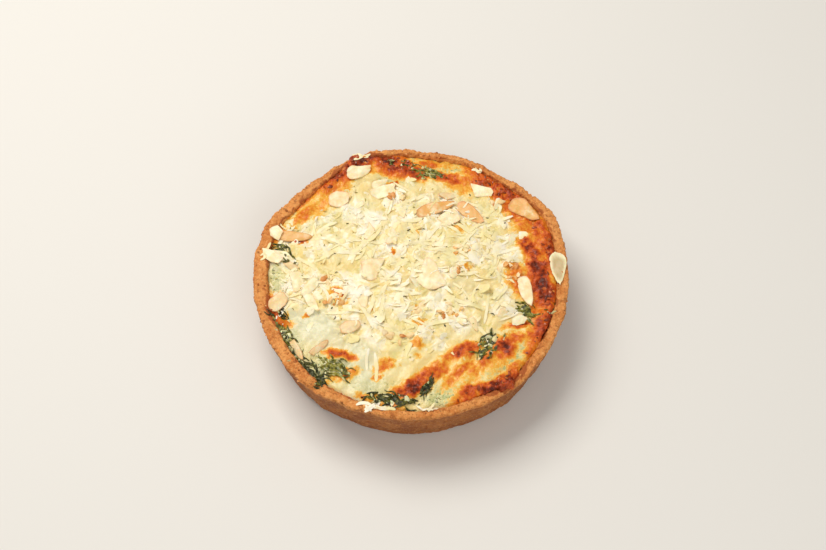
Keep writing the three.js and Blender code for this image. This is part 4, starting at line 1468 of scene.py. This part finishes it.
def curds_on_leaves(tree, leaves, material):
    """Soft curds of egg and cheese that lie on the wilted leaves and part them."""
    draw = random.Random(SEED + 2)
    shapes = shape_set("curd_shapes", [crumb(draw.uniform(0.6, 1.3), 3.3 * k + 15, 0.4) for k in range(5)])
    pieces = []
    for number, (leaf, spec) in enumerate(zip(leaves, SPINACH)):
        most = CURDS_BARE + CURDS_COATED * spec[-1]
        heights, sizes, seed = (-0.3, 0.15), (0.35, 1.15), 20 + number
        settings = strewing(shapes, "leafy", material, 0.9, most, 0.8, heights, sizes, seed)
        pieces.append(strew("curds_" + spec[0], tree, leaf, settings))
    return pieces


def area_light(name, place, size, watts, tint):
    """A soft square light."""
    lamp = bpy.data.lights.new(name, "AREA")
    lamp.energy, lamp.size, lamp.color = watts, size, colour(tint)[:3]
    holder = bpy.data.objects.new(name, lamp)
    holder.location = place
    holder.rotation_euler = (Vector(LIT_POINT) - Vector(place)).to_track_quat("-Z", "Y").to_euler()
    bpy.context.scene.collection.objects.link(holder)


def stage_and_camera():
    """A pale table, soft light from above, and the camera where the photograph was taken from."""
    corners = TABLE_REACH * np.array([(-1, -1, 0), (1, -1, 0), (1, 1, 0), (-1, 1, 0)], dtype=float)
    make_object("table", corners, [(0, 1, 2, 3)], table_material())
    for light in LIGHTS:
        area_light(*light)
    world = bpy.data.worlds.new("pale_room")
    bpy.context.scene.world = world
    world.use_nodes = True
    world.node_tree.nodes["Background"].inputs["Color"].default_value = colour(ROOM_TINT)
    world.node_tree.nodes["Background"].inputs["Strength"].default_value = ROOM_STRENGTH
    eye = bpy.data.cameras.new("photo_camera")
    eye.lens, eye.sensor_width, eye.clip_start, eye.clip_end = CAMERA_LENS, SENSOR, CLIP_NEAR, CLIP_FAR
    holder = bpy.data.objects.new("photo_camera", eye)
    holder.location = (CAMERA_PLACE + Vector(SHIFT)) * MM
    aim = Vector((0, math.cos(CAMERA_TILT), -math.sin(CAMERA_TILT)))
    holder.rotation_euler = aim.to_track_quat("-Z", "Y").to_euler()
    bpy.context.scene.collection.objects.link(holder)
    bpy.context.scene.camera = holder
    bpy.context.scene.view_settings.view_transform = "Standard"


def build():
    """Makes every piece, hides the fitted parts that they replace, and puts each piece on the body that it
    rides on.
    """
    materials = {
        "almond": almond_material(),
        "cheese": cheese_material(),
        "nut": nut_material(),
        "herb": herb_material(),
        "curd": curd_material(),
        "crumb": crumb_material(),
        "browned": browned_bits_material(),
    }
    leaf = spinach_material()
    case = pastry_case(pastry_material())
    filling, melted_top = filling_body(filling_material())
    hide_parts("crust")
    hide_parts("filling")
    scatter = scatter_tree()
    flakes = large_flakes(melted_top, materials["almond"])
    toppings = strewn_toppings(scatter, filling, case, flakes, materials) + [flakes]
    toppings.append(rim_shreds(melted_top, materials["cheese"]))
    toppings.append(long_shreds(melted_top, materials["cheese"]))
    leaves = [wilted_leaf(spec, leaf, number) for number, spec in enumerate(SPINACH)]
    toppings += curds_on_leaves(scatter, leaves, materials["curd"])
    for piece, spec in zip(leaves, SPINACH):
        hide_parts(spec[0])
    for slot, pieces in (("pastry", [case]), ("baked_cheese", [filling] + toppings), ("spinach", leaves)):
        for piece in pieces:
            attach(piece, "root")


build()
stage_and_camera()
